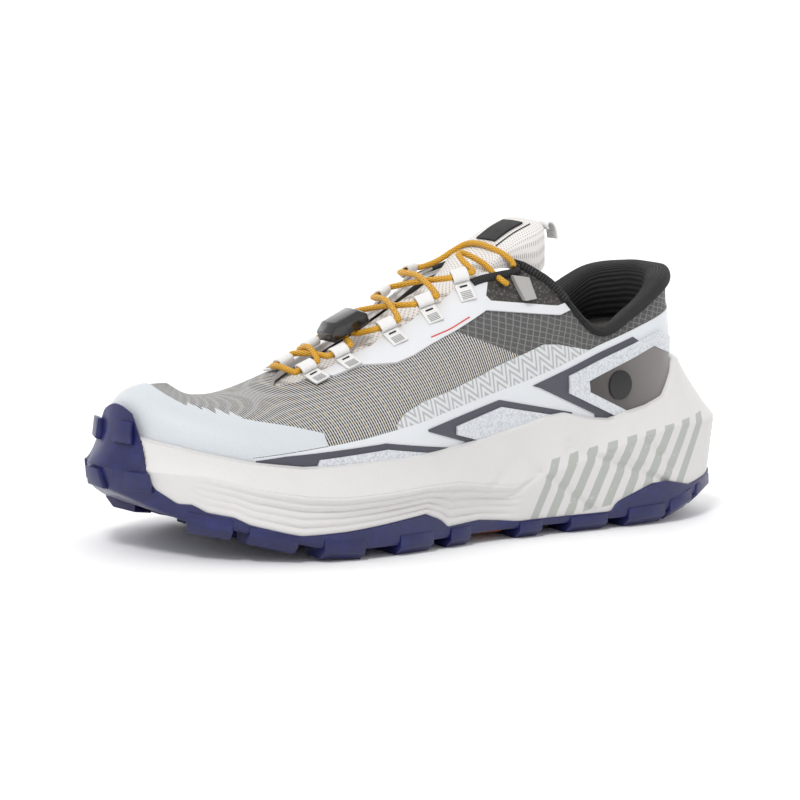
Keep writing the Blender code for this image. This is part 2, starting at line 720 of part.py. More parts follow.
def side_share(v, part, share, rib=0):
    """Point on the side: slope runs from the crest to the rim, under from it to the rubber."""
    s = outline(v).x
    crest = level(CREST_LINE, s)
    if part == "slope":
        return foam_side(v, crest + (rim_height(v) - crest) * share)
    low = min(rubber_height(v) + CLEAR, crest - 3.0)
    relief = RIB * rib * blend(RIB_LINE, s / LENGTH)
    return foam_side(v, crest + (low - crest) * share, relief)


def foam_side(v, z, relief=0.0):
    """Side of the foam, stepped back a little where the rubber covers it."""
    return flank(v, z, relief if z > rubber_height(v) - 1.0 else -RUBBER / 2)


def make_midsole():
    """Foam with its footbed, rim, crest, undercut and the ribs of the forefoot."""
    rings = [[curve_point(v, -1) + section(v)[4] * SKIN_CLEAR for v in COLUMNS]]
    for share in (0.45, 0.8, 1.0):
        ring = []
        for v in COLUMNS:
            low = curve_point(v, -1).z
            height = low + (rim_height(v) - low) * share
            ring.append(skin(v, at_height(v, height), SKIN_CLEAR))
        rings.append(ring)
    rings.append([foam_side(v, rim_height(v) - 0.4) for v in COLUMNS])
    for share in (0.5, 0.12, 0.0):
        rings.append([side_share(v, "slope", share) for v in COLUMNS])
    for number, share in enumerate((0.2, 0.4, 0.6, 0.8, 1.0)):
        rings.append([side_share(v, "under", share, number % 2) for v in COLUMNS])
    rings.append([on_base(v, RUBBER / 2, -RUBBER) for v in COLUMNS])
    points, faces = stack(rings)
    midsole = mesh_object("midsole", points, faces, "foam_white", 28)
    combine(midsole, rubber_shell("room_for_rubber", CLEAR), "DIFFERENCE")
    return drop_crumbs(midsole)


def rubber_rows(v, grow):
    """Heights of the rubber's rows: they meet the crest and the rim where they cross them."""
    low = base_height(outline(v).x) + RUBBER
    high = rubber_height(v)
    knees = (level(CREST_LINE, outline(v).x), rim_height(v))
    marks = [low, *(knee for knee in knees if low + 1 < knee < high - 1), high]
    while len(marks) < RUBBER_ROWS:
        spans = [after - before for before, after in zip(marks, marks[1:])]
        widest = spans.index(max(spans))
        marks.insert(widest + 1, (marks[widest] + marks[widest + 1]) / 2)
    return [marks[0] + grow, *marks[1:-1], marks[-1] + grow]


def rubber_shell(name, grow=0.0):
    """Rubber sheet under the foam, wrapped up the side and over the toe, without lugs."""
    inner = RUBBER_STAND - RUBBER - grow
    outer = RUBBER_STAND + grow
    rings = []
    rings.append([on_base(v, RUBBER + grow, inner - 1.5) for v in COLUMNS])
    heights = [rubber_rows(v, grow) for v in COLUMNS]
    for row in range(RUBBER_ROWS):
        rings.append([flank(v, high[row], inner) for v, high in zip(COLUMNS, heights)])
    for row in reversed(range(RUBBER_ROWS)):
        rings.append([flank(v, high[row], outer) for v, high in zip(COLUMNS, heights)])
    for height, side in ((0.8, outer - 0.3), (-grow, outer - 2.0)):
        rings.append([on_base(v, height, side) for v in COLUMNS])
    points, faces = stack(rings)
    return mesh_object(name, points, faces, "rubber_blue", 30)


# Lugs along the sole: start and end as shares of LENGTH
LUG_ROWS = (
    (0.035, 0.082), (0.095, 0.143), (0.153, 0.224), (0.263, 0.331), (0.383, 0.425),
    (0.516, 0.555), (0.588, 0.649), (0.708, 0.770), (0.805, 0.865), (0.883, 0.930),
)
INNER_LUGS_END = 0.87
TOE_STUDS = ((12.95, 0.62), (13.45, 0.98), (13.85, 0.60), (14.55, 0.96), (14.95, 0.60))
ARCH = (0.437, 0.505)


def side_place(s, side):
    """Place on the ring where the sole's outline reaches s."""
    v = find(lambda place: outline(place).x > s, 0.3, TOE - 0.1)
    return v if side > 0 else TURN - v


def box_between(start, end):
    """Closed body between two matching outlines."""
    count = len(start)
    faces = [tuple(range(count)), tuple(range(2 * count - 1, count - 1, -1))]
    for index in range(count):
        after = (index + 1) % count
        faces += halves((index, after, after + count, index + count))
    return [*start, *end], faces


def edge_lug(start, end, side):
    """Lug at the edge of the sole: it stands out of the side, with a chamfer below."""
    outlines = []
    places = [side_place((start + (end - start) * step / 4) * LENGTH, side) for step in range(5)]
    rise = min(rubber_height(v) - base_height(outline(v).x) for v in places) - CLEAR
    rise = min(rise, LUG_RISE)
    for v in (places[0], places[-1]):
        edge = outline(v)
        outward = section(v)[4]
        profile = (
            (-LUG_REACH, 0.0), (-2.5, 0.0), (LUG_STAND, LUG * 0.8),
            (LUG_STAND - 0.4, LUG + rise), (-RUBBER / 2, LUG + 1.0), (-LUG_REACH, LUG + 1.0),
        )
        side_out = flank(v, base_height(edge.x) + 2.0, RUBBER_STAND)
        row = []
        for out, height in profile:
            spot = side_out + outward * (out - 0.5)
            row.append(Vector((spot.x, spot.y, level(GROUND_LINE, spot.x) + height)))
        outlines.append(row)
    return box_between(*outlines)


def centre_lug(start, end, side):
    """Lug inside the edge: an arrow shape that points to the toe."""
    middle = CENTRE_LUG * 0.85 * side
    half = CENTRE_LUG / 2
    length = (end - start) * LENGTH
    s = start * LENGTH
    shape = (
        (s, middle - half), (s + length * 0.75, middle - half), (s + length, middle),
        (s + length * 0.75, middle + half), (s, middle + half),
    )
    foot = [Vector((x, y, level(GROUND_LINE, x))) for x, y in shape]
    root = [Vector((x, y, level(GROUND_LINE, x) + LUG + RUBBER / 2)) for x, y in shape]
    return box_between(foot, root)


def toe_stud(v, height):
    """Block on the front of the toe bumper."""
    low = height * SOLE_HEIGHT - 4.0
    high = low + 8.0
    inner = []
    outer = []
    for place, z in ((v - 0.25, low), (v + 0.25, low), (v + 0.18, high), (v - 0.18, high)):
        inner.append(flank(place, z, RUBBER_STAND - 1.0))
        outer.append(flank(place, z + 0.5, RUBBER_STAND + 2.2))
    return box_between(inner, outer)


def make_outsole():
    """Rubber with its lugs and the studs on its toe bumper."""
    outsole = rubber_shell("outsole")
    lugs = []
    for start, end in LUG_ROWS:
        for side in SIDES.values():
            lugs.append(edge_lug(start, end, side))
            if end < INNER_LUGS_END:
                lugs.append(centre_lug(start, end, side))
    lugs += [toe_stud(v, height) for v, height in TOE_STUDS]
    points = []
    faces = []
    for corners, sides in lugs:
        faces += [tuple(corner + len(points) for corner in side) for side in sides]
        points += corners
    return combine(outsole, mesh_object("lugs", points, faces, "rubber_blue"), "UNION")


def make_arch_plate():
    """Plate under the rubber of the arch, seen between the lugs."""
    start, end = (share * LENGTH for share in ARCH)
    lateral = outline(side_place(start, 1)).y - 9.0
    medial = outline(side_place(start, -1)).y + 12.0
    corners = ((start, medial), (end, medial), (end, lateral), (start, lateral))
    top = base_height(start) - CLEAR
    outlines = [[Vector((s, w, z)) for s, w in corners] for z in (top - PLATE_DEPTH, top)]
    points, faces = box_between(*outlines)
    return mesh_object("arch_plate", points, faces, "plate_brown")


# Tongue: stations along the throat, then steps past the last one, back and up.
# The shares are of BALL_WIDTH: half is the half width, crown the bulge and flank the
# turn down of the free end's sides.
TONGUE_ROWS = (
    # station, back, up, half, crown, flank
    (9.70, 0.000, 0.000, 0.070, 0.005, 0.00), (9.20, 0.000, 0.000, 0.130, 0.008, 0.00),
    (8.40, 0.000, 0.000, 0.170, 0.010, 0.00), (7.60, 0.000, 0.000, 0.190, 0.012, 0.00),
    (6.80, 0.000, 0.000, 0.190, 0.015, 0.00), (6.15, 0.000, 0.000, 0.140, 0.020, 0.00),
    (6.15, 0.085, 0.082, 0.140, 0.025, 0.02), (6.15, 0.160, 0.136, 0.150, 0.030, 0.06),
    (6.15, 0.225, 0.176, 0.158, 0.035, 0.11), (6.15, 0.291, 0.205, 0.160, 0.035, 0.15),
    (6.15, 0.335, 0.221, 0.150, 0.030, 0.14),
)
# Loop past the tongue's end, at its lateral corner: ahead and up, in millimetres
PULL_PATH = ((1.3, -3.5), (1.3, -1.5), (2.8, -0.8), (4.6, -2.2), (5.2, -5.5), (4.4, -9.5))
TONGUE_SLOPE = 24.0     # degrees, of the tongue's free end
TONGUE_CLEAR = 1.2      # clearance of the tongue under the upper's wall


def tongue_point(station_place, across, lift, half, crown):
    """Point of the tongue's top: under the wall at the sides, bridging the throat."""
    side = station_place if across >= 0 else TURN - station_place
    edge = top_edge(side)
    under = -(UPPER_WALL + TONGUE_CLEAR) + lift
    reach = half * BALL_WIDTH
    rim = abs(curve_point(side, edge).y)
    wanted = abs(across) * reach
    if wanted > rim:
        t = find(lambda place: abs(curve_point(side, place).y) < wanted, 0.2, edge)
        return skin(side, t, under)
    left = skin(station_place, top_edge(station_place), under)
    right = skin(TURN - station_place, top_edge(TURN - station_place), under)
    share = wanted / max(rim, 0.1)
    signed = math.copysign(share, across)
    point = right.lerp(left, (signed + 1) / 2)
    return point + Vector((0, 0, crown * BALL_WIDTH * (1 - share ** 2)))


def tongue_grid():
    """Rows of the tongue's top: in the throat, then bent over past it."""
    grid = []
    for place, back, up, half, crown, flank in TONGUE_ROWS:
        row = []
        for number in range(9):
            across = (number - 4) / 4
            if back == 0:
                row.append(tongue_point(place, across, 0, half, crown))
                continue
            middle = tongue_point(place, 0, 0, half, 0.02)
            side = half * math.sin(across * math.pi / 2)
            fall = crown * across ** 2 + flank * across ** 6
            row.append(middle + Vector((-back, side, up - fall)) * BALL_WIDTH)
        grid.append(row)
    return grid


def thicken(name, grid, low, high, finish):
    """Closed pad between two lifts over a grid of points."""
    rows = len(grid)
    columns = len(grid[0])
    points = []
    for lift in (low, high):
        for row in range(rows):
            for column in range(columns):
                along = grid[min(row + 1, rows - 1)][column] - grid[max(row - 1, 0)][column]
                side = grid[row][min(column + 1, columns - 1)] - grid[row][max(column - 1, 0)]
                normal = side.cross(along).normalized()
                if normal.z < 0 and abs(normal.z) > 0.05:
                    normal.negate()
                points.append(grid[row][column] + normal * lift)
    layer = rows * columns
    faces = []
    for row in range(rows - 1):
        for column in range(columns - 1):
            first = row * columns + column
            quad = (first, first + 1, first + columns + 1, first + columns)
            faces += halves(quad) + halves(tuple(corner + layer for corner in quad))
    border = [column for column in range(columns)]
    border += [row * columns + columns - 1 for row in range(1, rows)]
    border += [(rows - 1) * columns + column for column in range(columns - 2, -1, -1)]
    border += [row * columns for row in range(rows - 2, 0, -1)]
    for here, after in zip(border, border[1:] + border[:1]):
        faces.append((here, after, after + layer, here + layer))
    return mesh_object(name, points, faces, finish)


def make_tongue():
    grid = tongue_grid()
    thicken("tongue", grid, -TONGUE, 0.0, "tongue_white")
    label = [row[3:6] for row in grid[7:10]]
    thicken("tongue_label", label, CLEAR, CLEAR + LABEL, "knit_black")
    slope = math.radians(TONGUE_SLOPE)
    forward = Vector((-math.cos(slope), 0, math.sin(slope)))
    up = Vector((math.sin(slope), 0, math.cos(slope)))
    frame = (grid[-1][6], forward, up, Vector((0, 1, 0)))
    strap("tongue_pull", PULL_PATH, WEBBING, frame, LOOP_WIDTH, "tongue_white")


def around_collar(v, lift, drop):
    """Point off the collar's edge: lift out of the skin, drop below the edge."""
    if drop >= 0:
        return skin(v, drop_place(v, 1.0, max(drop, 0.01)), lift)
    edge = skin(v, 1.0, lift)
    up = (curve_point(v, 1.0) - curve_point(v, 0.93)).normalized()
    return edge - up * drop


def make_collar():
    """Padded roll round the collar: it folds over the edge, thick inside."""
    places = [v for v in COLUMNS[TOE_COLUMN:] + COLUMNS[:TOE_COLUMN] if station(v) < COLLAR_END]
    profiles = []
    for v in places:
        fade = blend(((3.4, 1.0), (COLLAR_END, 0.15)), station(v))
        lip = blend(((0.0, HEEL_LIP), (1.6, LIP)), station(v)) - FILM_CLEAR
        lip = lip if station(v) < LIP_FADE else LIP - 2.0
        pad = 2.0 + (COLLAR_PAD - 2.0) * fade
        depth = 6.0 + (COLLAR_DEPTH - 6.0) * fade
        inner = -UPPER_WALL - SKIN_CLEAR
        outer = SKIN_CLEAR
        profile = (
            (outer, lip), (1.8, lip - 1.0), (2.4, 1.5), (1.4, -2.4), (-1.5, -3.4),
            (-UPPER_WALL - pad * 0.7, -1.6), (-UPPER_WALL - pad, 3.0),
            (-UPPER_WALL - pad * 0.9, depth * 0.55), (inner - 0.8, depth), (inner, depth * 0.5),
            (inner, -1.0), (outer, -1.0),
        )
        profiles.append([around_collar(v, lift, drop) for lift, drop in profile])
    count = len(profiles[0])
    points = [point for profile in profiles for point in profile]
    faces = [tuple(range(count)), tuple(range(len(points) - 1, len(points) - count - 1, -1))]
    for number in range(len(profiles) - 1):
        for index in range(count):
            low = number * count
            after = (index + 1) % count
            faces += halves((low + index, low + after, low + count + after, low + count + index))
    return mesh_object("collar", points, faces, "knit_black")


def loop_frame(v):
    """Origin and axes of a lace loop: toward the throat, out of the skin, along the throat."""
    edge = top_edge(v)
    lift = FILM_CLEAR + EYESTAY + CLEAR
    origin = skin(v, edge, lift)
    back = skin(v, drop_place(v, edge, LOOP_TAIL), lift)
    inward = (origin - back).normalized()
    ahead = skin(v + 0.2, top_edge(v + 0.2), lift) - skin(v - 0.2, top_edge(v - 0.2), lift)
    out = inward.cross(ahead).normalized()
    if out.z < 0:
        out.negate()
    along = out.cross(inward).normalized()
    if along.x < 0:
        along.negate()
    return origin + out * 0.25, inward, out, along


def loop_centre(number, side):
    """Middle of the bore of a lace loop, and the direction of the bore, toward the toe."""
    v = LOOP_STATIONS[number]
    origin, inward, out, along = loop_frame(v if side > 0 else TURN - v)
    radius = LOOP_BORE / 2 + WEBBING
    return origin + inward * radius + out * radius, along, out


def strap(name, path, thickness, frame, width, finish):
    """Webbing of a thickness along a path in the frame's plane."""
    origin, inward, out, along = frame
    points = []
    for number, here in enumerate(path):
        before = path[max(number - 1, 0)]
        after = path[min(number + 1, len(path) - 1)]
        way = (Vector(after) - Vector(before)).normalized()
        side = Vector((-way.y, way.x)) * thickness / 2
        for corner in (Vector(here) - side, Vector(here) + side):
            spot = origin + inward * corner.x + out * corner.y
            points += [spot - along * width / 2, spot + along * width / 2]
    faces = [(0, 1, 3, 2), tuple(len(points) - 4 + corner for corner in (0, 2, 3, 1))]
    for number in range(len(path) - 1):
        low = number * 4
        for start, end in ((0, 1), (1, 3), (3, 2), (2, 0)):
            faces += halves((low + start, low + end, low + 4 + end, low + 4 + start))
    return mesh_object(name, points, faces, finish)


def make_lace_loops():
    """Folded webbing on the eyestay: a flat tail, then a round turn that holds the lace."""
    radius = (LOOP_BORE + WEBBING) / 2
    flat = WEBBING / 2
    turns = [math.radians(angle) for angle in range(-90, 215, 60)]
    path = [(-LOOP_TAIL, flat), (-1.0, flat)]
    path += [(radius + flat + radius * math.cos(turn), radius + flat + radius * math.sin(turn))
             for turn in turns]
    for side, sign in SIDES.items():
        for number, v in enumerate(LOOP_STATIONS):
            frame = loop_frame(v if sign > 0 else TURN - v)
            name = "lace_loop_" + side + "_" + str(number + 1)
            strap(name, path, WEBBING, frame, LOOP_WIDTH, "film_white")


def tube(name, path, radius, sides=5):
    """Closed tube along a path, with flat ends."""
    points = []
    heading = (path[1] - path[0]).normalized()
    across = heading.cross(Vector((0, 0, 1))).normalized()
    for number, here in enumerate(path):
        way = (path[min(number + 1, len(path) - 1)] - path[max(number - 1, 0)]).normalized()
        across.rotate(heading.rotation_difference(way))
        heading = way
        up = across.cross(way)
        for step in range(sides):
            turn = math.tau * step / sides
            points.append(here + (across * math.cos(turn) + up * math.sin(turn)) * radius)
    faces = [tuple(range(sides)), tuple(range(len(points) - 1, len(points) - sides - 1, -1))]
    for number in range(len(path) - 1):
        for step in range(sides):
            low = number * sides
            after = (step + 1) % sides
            faces.append((low + step, low + after, low + sides + after, low + sides + step))
    return mesh_object(name, points, faces, "lace_gold", 60)


def rounded(points, steps=3):
    """Points along a smooth curve through the given ones."""
    path = []
    last = len(points) - 1
    for index in range(last):
        before, here = points[max(index - 1, 0)], points[index]
        after, beyond = points[index + 1], points[min(index + 2, last)]
        for step in range(steps):
            part = step / steps
            path.append(0.5 * (
                2 * here + (after - before) * part
                + (2 * before - 5 * here + 4 * after - beyond) * part ** 2
                + (3 * here - before - 3 * after + beyond) * part ** 3))
    return [*path, points[-1]]


def lace_start(number, side, toward_toe):
    """Where a lace leaves a loop, and a point just past it that starts its bend."""
    centre, along, out = loop_centre(number, side)
    way = along if toward_toe else -along
    free = centre + way * (LOOP_WIDTH / 2 + CLEAR)
    return free, free + way * 2.2 + out * 0.4


def make_lace():
    """Bar at the toe end, crossings between the loops, and the lace at the lock."""
    radius = LACE / 2
    lateral, bend_lateral = lace_start(0, 1, True)
    medial, bend_medial = lace_start(0, -1, True)
    middle = (bend_lateral + bend_medial) / 2 + Vector((2.0, 0, 1.2))
    tube("lace_bar", rounded([lateral, bend_lateral, middle, bend_medial, medial], 2), radius)
    for number in range(len(LOOP_STATIONS) - 1):
        if number == LOCK_GAP:
            make_lace_at_lock(number, radius)
            continue
        strands = []
        for side in SIDES.values():
            start, bend = lace_start(number, side, False)
            end, bend_end = lace_start(number + 1, -side, True)
            middle = (bend + bend_end) / 2 + Vector((0, 0, 1.6))
            strands.append([start, bend, middle, bend_end, end])
        crossing = tube("lace_crossing_" + str(number + 1), strands[0], radius)
        combine(crossing, tube("strand", strands[1], radius), "UNION")


def lock_place():
    """Middle and axes of the cord lock, over the tongue between two pairs of loops."""
    ends = []
    for number in (LOCK_GAP, LOCK_GAP + 1):
        centres = [loop_centre(number, side)[0] for side in SIDES.values()]
        ends.append((centres[0] + centres[1]) / 2)
    along = (ends[0] - ends[1]).normalized()
    across = Vector((0, 1, 0))
    up = along.cross(across).normalized()
    if up.z < 0:
        up.negate()
    return (ends[0] + ends[1]) / 2 + up * LOCK_STAND, along, across, up


def make_lace_at_lock(number, radius):
    """Four strands rise from the loops to the underside of the lock."""
    centre, along, across, up = lock_place()
    for row, way in ((number, 1), (number + 1, -1)):
        for side, sign in SIDES.items():
            start, bend = lace_start(row, sign, way < 0)
            mouth = centre + along * way * LOCK[0] * 0.10 + across * sign * LOCK[1] * 0.27
            mouth -= up * (LOCK[2] / 2 + 2 * CLEAR)
            name = "lace_at_lock_" + side + "_" + str(row + 1)
            tube(name, [start, bend, mouth + along * way * 0.3 - up * 1.6, mouth], radius)


def make_cord_lock():
    """Faceted lock: a block whose top and ends are chamfered."""
    centre, along, across, up = lock_place()
    length, width, height = LOCK
    outline_points = (
        (-0.50, -0.5), (0.50, -0.5), (0.50, 0.05), (0.30, 0.5), (-0.34, 0.5), (-0.50, 0.05),
    )
    sides = []
    for share, shrinkage in ((-0.5, 0.82), (-0.3, 1.0), (0.3, 1.0), (0.5, 0.82)):
        sides.append([
            centre + along * x * length + across * share * width
            + up * (y if y < 0 else y * shrinkage) * height
            for x, y in outline_points
        ])
    points = [point for row in sides for point in row]
    count = len(outline_points)
    faces = [tuple(range(count)), tuple(range(len(points) - 1, len(points) - count - 1, -1))]
    for number in range(len(sides) - 1):
        for index in range(count):
            low = number * count
            after = (index + 1) % count
            faces.append((low + index, low + after, low + count + after, low + count + index))
    return mesh_object("cord_lock", points, faces, "lock_black")


def on_ankle(s, z, lift):
    """Point over the lateral ankle panel, found from its place in the side view."""
    v = find(lambda place: curve_point(place, 0.9).x > s, 4.0, 6.4)
    return skin(v, at_height(v, z), lift)


def lace_end(name, path):
    """Free lace between the top loops and the keeper, as a curve with round bevel."""
    curve = bpy.data.curves.new(name, "CURVE")
    curve.dimensions = "3D"
    curve.bevel_depth = LACE / 2 * MM
    curve.bevel_resolution = 2
    curve.use_fill_caps = True
    spline = curve.splines.new("POLY")
    spline.points.add(len(path) - 1)
    for point, place in zip(spline.points, path):
        point.co = (*to_scene(place), 1.0)
    made = bpy.data.objects.new(name, curve)
    bpy.context.collection.objects.link(made)
    curve.materials.append(material("lace_gold"))
    return made


def make_lace_ends():
    """Both ends run from the top loops over the tongue into the keeper on the ankle."""
    last = len(LOOP_STATIONS) - 1
    lift = FILM_CLEAR + FILM + CLEAR + KEEPER / 2
    medial, medial_bend = lace_start(last, -1, False)
    top_mouth = on_ankle(120.0, 112.6, lift)
    over = [Vector(place) for place in ((137, -11, 118), (130.5, 0, 124), (125, 12, 123), (121, 22, 118))]
    lace_end("lace_end_upper", rounded([medial, medial_bend, *over, top_mouth], 2))
    lateral, lateral_bend = lace_start(last, 1, False)
    front_mouth = on_ankle(125.4, 106.0, lift)
    hairpin = [Vector(place) for place in ((139, 14, 117), (137, 8, 120.5), (133, 10, 121), (130, 19, 117))]
    before_mouth = on_ankle(129.0, 107.5, lift + 1.5)
    path = [lateral, lateral_bend, *hairpin, before_mouth, front_mouth]
    lace_end("lace_end_lower", rounded(path, 2))


def centre_on_floor():
    """Move everything so that the origin is the middle of the bounding box, on the floor."""
    bpy.context.view_layer.update()
    corners = [made.matrix_world @ Vector(corner) for made in bpy.data.objects
               for corner in made.bound_box]
    low = [min(corner[axis] for corner in corners) for axis in range(3)]
    high = [max(corner[axis] for corner in corners) for axis in range(3)]
    shift = Matrix.Translation((-(low[0] + high[0]) / 2, -(low[1] + high[1]) / 2, -low[2]))
    for made in bpy.data.objects:
        made.data.transform(shift)


def make_keeper(films):
    """Clip on the ankle panel that holds the end of the lace."""
    lift = FILM_CLEAR + FILM + CLEAR
    return overlay("lace_keeper", "keeper", "lateral", films, lift, KEEPER, "clip_grey")


def main():
    for item in list(bpy.data.objects):
        bpy.data.objects.remove(item)
    make_upper()
    make_insole()
    make_midsole()
    make_outsole()
    make_arch_plate()
    make_overlays()
    make_eyestay()
    make_tongue()
    make_collar()
    make_lace_loops()
    make_lace()
    make_cord_lock()
    make_keeper(film_places())
    make_lace_ends()
    centre_on_floor()


main()
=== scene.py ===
"""Looks of the trail running shoe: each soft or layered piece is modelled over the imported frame."""

import math
from contextlib import contextmanager

import bpy
import numpy as np
from mathutils import Matrix, Vector


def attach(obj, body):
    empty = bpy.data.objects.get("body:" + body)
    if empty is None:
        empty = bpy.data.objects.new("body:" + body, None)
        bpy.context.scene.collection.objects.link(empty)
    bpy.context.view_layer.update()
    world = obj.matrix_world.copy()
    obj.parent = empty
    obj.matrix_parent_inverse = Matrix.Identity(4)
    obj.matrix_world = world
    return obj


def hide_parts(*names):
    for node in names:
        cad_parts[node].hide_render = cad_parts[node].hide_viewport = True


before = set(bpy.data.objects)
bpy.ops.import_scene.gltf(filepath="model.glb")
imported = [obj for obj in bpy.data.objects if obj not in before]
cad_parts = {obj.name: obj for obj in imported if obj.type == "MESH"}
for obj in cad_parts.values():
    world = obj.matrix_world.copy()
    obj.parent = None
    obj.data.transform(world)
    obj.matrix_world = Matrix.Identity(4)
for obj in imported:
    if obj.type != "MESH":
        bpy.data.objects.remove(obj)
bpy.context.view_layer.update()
MM = 0.001

# Shoe coordinates in millimetres: s from the heel, w to the lateral side, z up
ORIGIN_S = 154.839      # the frame's origin, measured along the shoe
ORIGIN_W = 2.436
LENGTH = 308.0
BALL = 114.0
SOLE = 50.0
COLLAR = 110.0
WALL = 2.2
RECESS = 9.0
TUCK = 2.0
SEAT_CLEAR = 0.7
RIM = 3.0
UNDERCUT = 2.4
DRAFT = 2.0
RUBBER = 2.5
RUBBER_STAND = 0.8
LUG = 4.5
LACE = 2.6
FLANK_SAG = 0.8         # hollow of the slope between the sole's crest and its rim
HALVINGS = 26           # steps of the search for a place on the skin
FILM_END = 6.4          # station where the collar's lip gives way to the throat

# The photograph's view: angles in degrees, the point looked at in millimetres, metres from it
CAMERA_TURN = (-36.5, 8.3, 2.4)
CAMERA_TARGET = (-7.16, 2.455, 55.2)
CAMERA_BACK = 1.2
CAMERA_LENS = 125.1

# Finest sizes of the meshes
UPPER_COLUMNS, UPPER_ROWS = 420, 46
FOAM_COLUMNS, RUBBER_COLUMNS = 560, 420

# Sections round the feather line, from the heel to the toe: the same shares as the solids
STATION_ROWS = (
    # along, lateral, medial, rise, centre, flanges, top s, top w, top z, low, lean, high, lean
    (0.081, 0.000, 0.000, 1.06, 0.179, 0.219, 0.219, 0.071, 0.000, 0.000, 1.000, 0.19, 10, 0.19, -4),
    (0.091, 0.158, 0.149, 1.04, 0.185, 0.217, 0.211, 0.084, 0.118, 0.110, 1.000, 0.19, 10, 0.19, -2),
    (0.133, 0.289, 0.263, 1.02, 0.185, 0.125, 0.126, 0.130, 0.245, 0.228, 0.968, 0.19, 10, 0.17, 2),
    (0.205, 0.333, 0.298, 0.98, 0.218, 0.084, 0.083, 0.195, 0.289, 0.272, 0.865, 0.19, 8, 0.14, 8),
    (0.289, 0.342, 0.298, 0.98, 0.289, 0.075, 0.068, 0.270, 0.298, 0.281, 0.795, 0.16, 6, 0.14, 14),
    (0.380, 0.351, 0.289, 1.00, 0.380, 0.067, 0.065, 0.354, 0.228, 0.228, 1.010, 0.21, 4, 0.21, 30),
    (0.458, 0.377, 0.298, 0.94, 0.458, 0.059, 0.068, 0.432, 0.000, 0.000, 1.100, 0.28, 2, 0.23, 78),
    (0.536, 0.412, 0.333, 0.88, 0.536, 0.060, 0.068, 0.516, 0.000, 0.000, 0.925, 0.26, 0, 0.225, 84),
    (0.617, 0.447, 0.377, 0.83, 0.617, 0.058, 0.065, 0.607, 0.000, 0.000, 0.765, 0.23, 0, 0.215, 88),
    (0.698, 0.447, 0.404, 0.80, 0.698, 0.075, 0.070, 0.698, -0.009, 0.009, 0.645, 0.19, 0, 0.19, 90),
    (0.779, 0.412, 0.404, 0.80, 0.769, 0.085, 0.069, 0.769, -0.018, 0.018, 0.560, 0.16, 0, 0.175, 90),
    (0.854, 0.333, 0.377, 0.84, 0.828, 0.073, 0.050, 0.828, -0.035, 0.035, 0.553, 0.14, 0, 0.165, 90),
    (0.912, 0.219, 0.316, 0.90, 0.867, 0.057, 0.040, 0.867, -0.053, 0.053, 0.570, 0.13, 0, 0.155, 90),
    (0.951, 0.079, 0.211, 0.96, 0.886, 0.074, 0.055, 0.886, -0.070, 0.070, 0.598, 0.13, 0, 0.145, 90),
    (0.964, -0.070, 0.070, 0.97, 0.893, 0.096, 0.096, 0.893, -0.070, 0.070, 0.610, 0.13, 0, 0.145, 90),
)
# Heights along the sole: share of the length, share of the sole's height
RIM_LINE = (
    (0.00, 1.44), (0.122, 1.44), (0.150, 1.13), (0.185, 1.06), (0.224, 1.02), (0.253, 0.97),
    (0.294, 0.99), (0.338, 1.05), (0.377, 1.03), (0.416, 0.98), (0.498, 0.90), (0.580, 0.84),
    (0.656, 0.81), (0.737, 0.79), (0.790, 0.78), (0.854, 0.82), (0.910, 0.89), (0.955, 0.96),
    (1.00, 0.96),
)
CREST_LINE = (
    (0.00, 0.90), (0.14, 0.88), (0.25, 0.74), (0.35, 0.58), (0.44, 0.48), (0.51, 0.54),
    (0.55, 0.58), (0.61, 0.58), (0.68, 0.56), (0.75, 0.55), (0.80, 0.57), (0.857, 0.62),
    (0.91, 0.70), (1.00, 0.72),
)
RUBBER_LINE = (
    (0.00, 0.42), (0.07, 0.36), (0.10, 0.33), (0.15, 0.39), (0.18, 0.38), (0.245, 0.24),
    (0.255, 0.16), (0.43, 0.16), (0.50, 0.21), (0.56, 0.19), (0.575, 0.26), (0.605, 0.33),
    (0.62, 0.32), (0.67, 0.29), (0.735, 0.25), (0.80, 0.23), (0.857, 0.30), (0.882, 0.38),
    (0.91, 0.41), (0.925, 0.47), (0.940, 0.47), (0.962, 0.58), (0.975, 0.86), (0.988, 1.12),
    (1.00, 1.18),
)
GROUND_LINE = (
    (0.00, 0.26), (0.09, 0.13), (0.15, 0.02), (0.17, 0.00), (0.72, 0.00), (0.77, 0.03),
    (0.81, 0.08), (0.87, 0.17), (0.93, 0.24), (0.96, 0.33), (0.985, 0.41), (1.00, 0.46),
)
# Depth of the ribs along the sole, and half width of the throat by station
RIB_LINE = (
    (0.00, 0.0), (0.42, 0.0), (0.46, 0.7), (0.52, 1.0), (0.80, 1.0), (0.90, 0.3), (0.93, 0.0),
    (1.00, 0.0),
)
THROAT = (
    (5.2, 0.185), (6.0, 0.170), (7.0, 0.145), (8.0, 0.128), (9.0, 0.102), (9.3, 0.080),
    (9.6, 0.010),
)
THROAT_START = 5.35
THROAT_END = 9.6


def ring_table():
    """Rows of the ring in millimetres, lateral to the toe and medial back to the heel."""
    units = np.array([LENGTH, BALL, BALL, SOLE, LENGTH, BALL, BALL, LENGTH, BALL, BALL, COLLAR,
                      BALL, 1, BALL, 1])
    rows = np.array(STATION_ROWS) * units
    lateral = rows[:, [0, 1, 3, 4, 5, 7, 8, 10, 11, 12, 13, 14]]
    medial = rows[:, [0, 2, 3, 4, 6, 7, 9, 10, 11, 12, 13, 14]]
    medial[:, [1, 6]] *= -1
    return np.concatenate([lateral, medial[-2:0:-1]])


RING = ring_table()
TURN = float(len(RING))
TOE = TURN / 2


def between_knots(a, b, c, d, part):
    """Smooth curve from b to c, with the knots before and after them."""
    return 0.5 * (2 * b + (c - a) * part + (2 * a - 5 * b + 4 * c - d) * part ** 2
                  + (3 * b - a - 3 * c + d) * part ** 3)


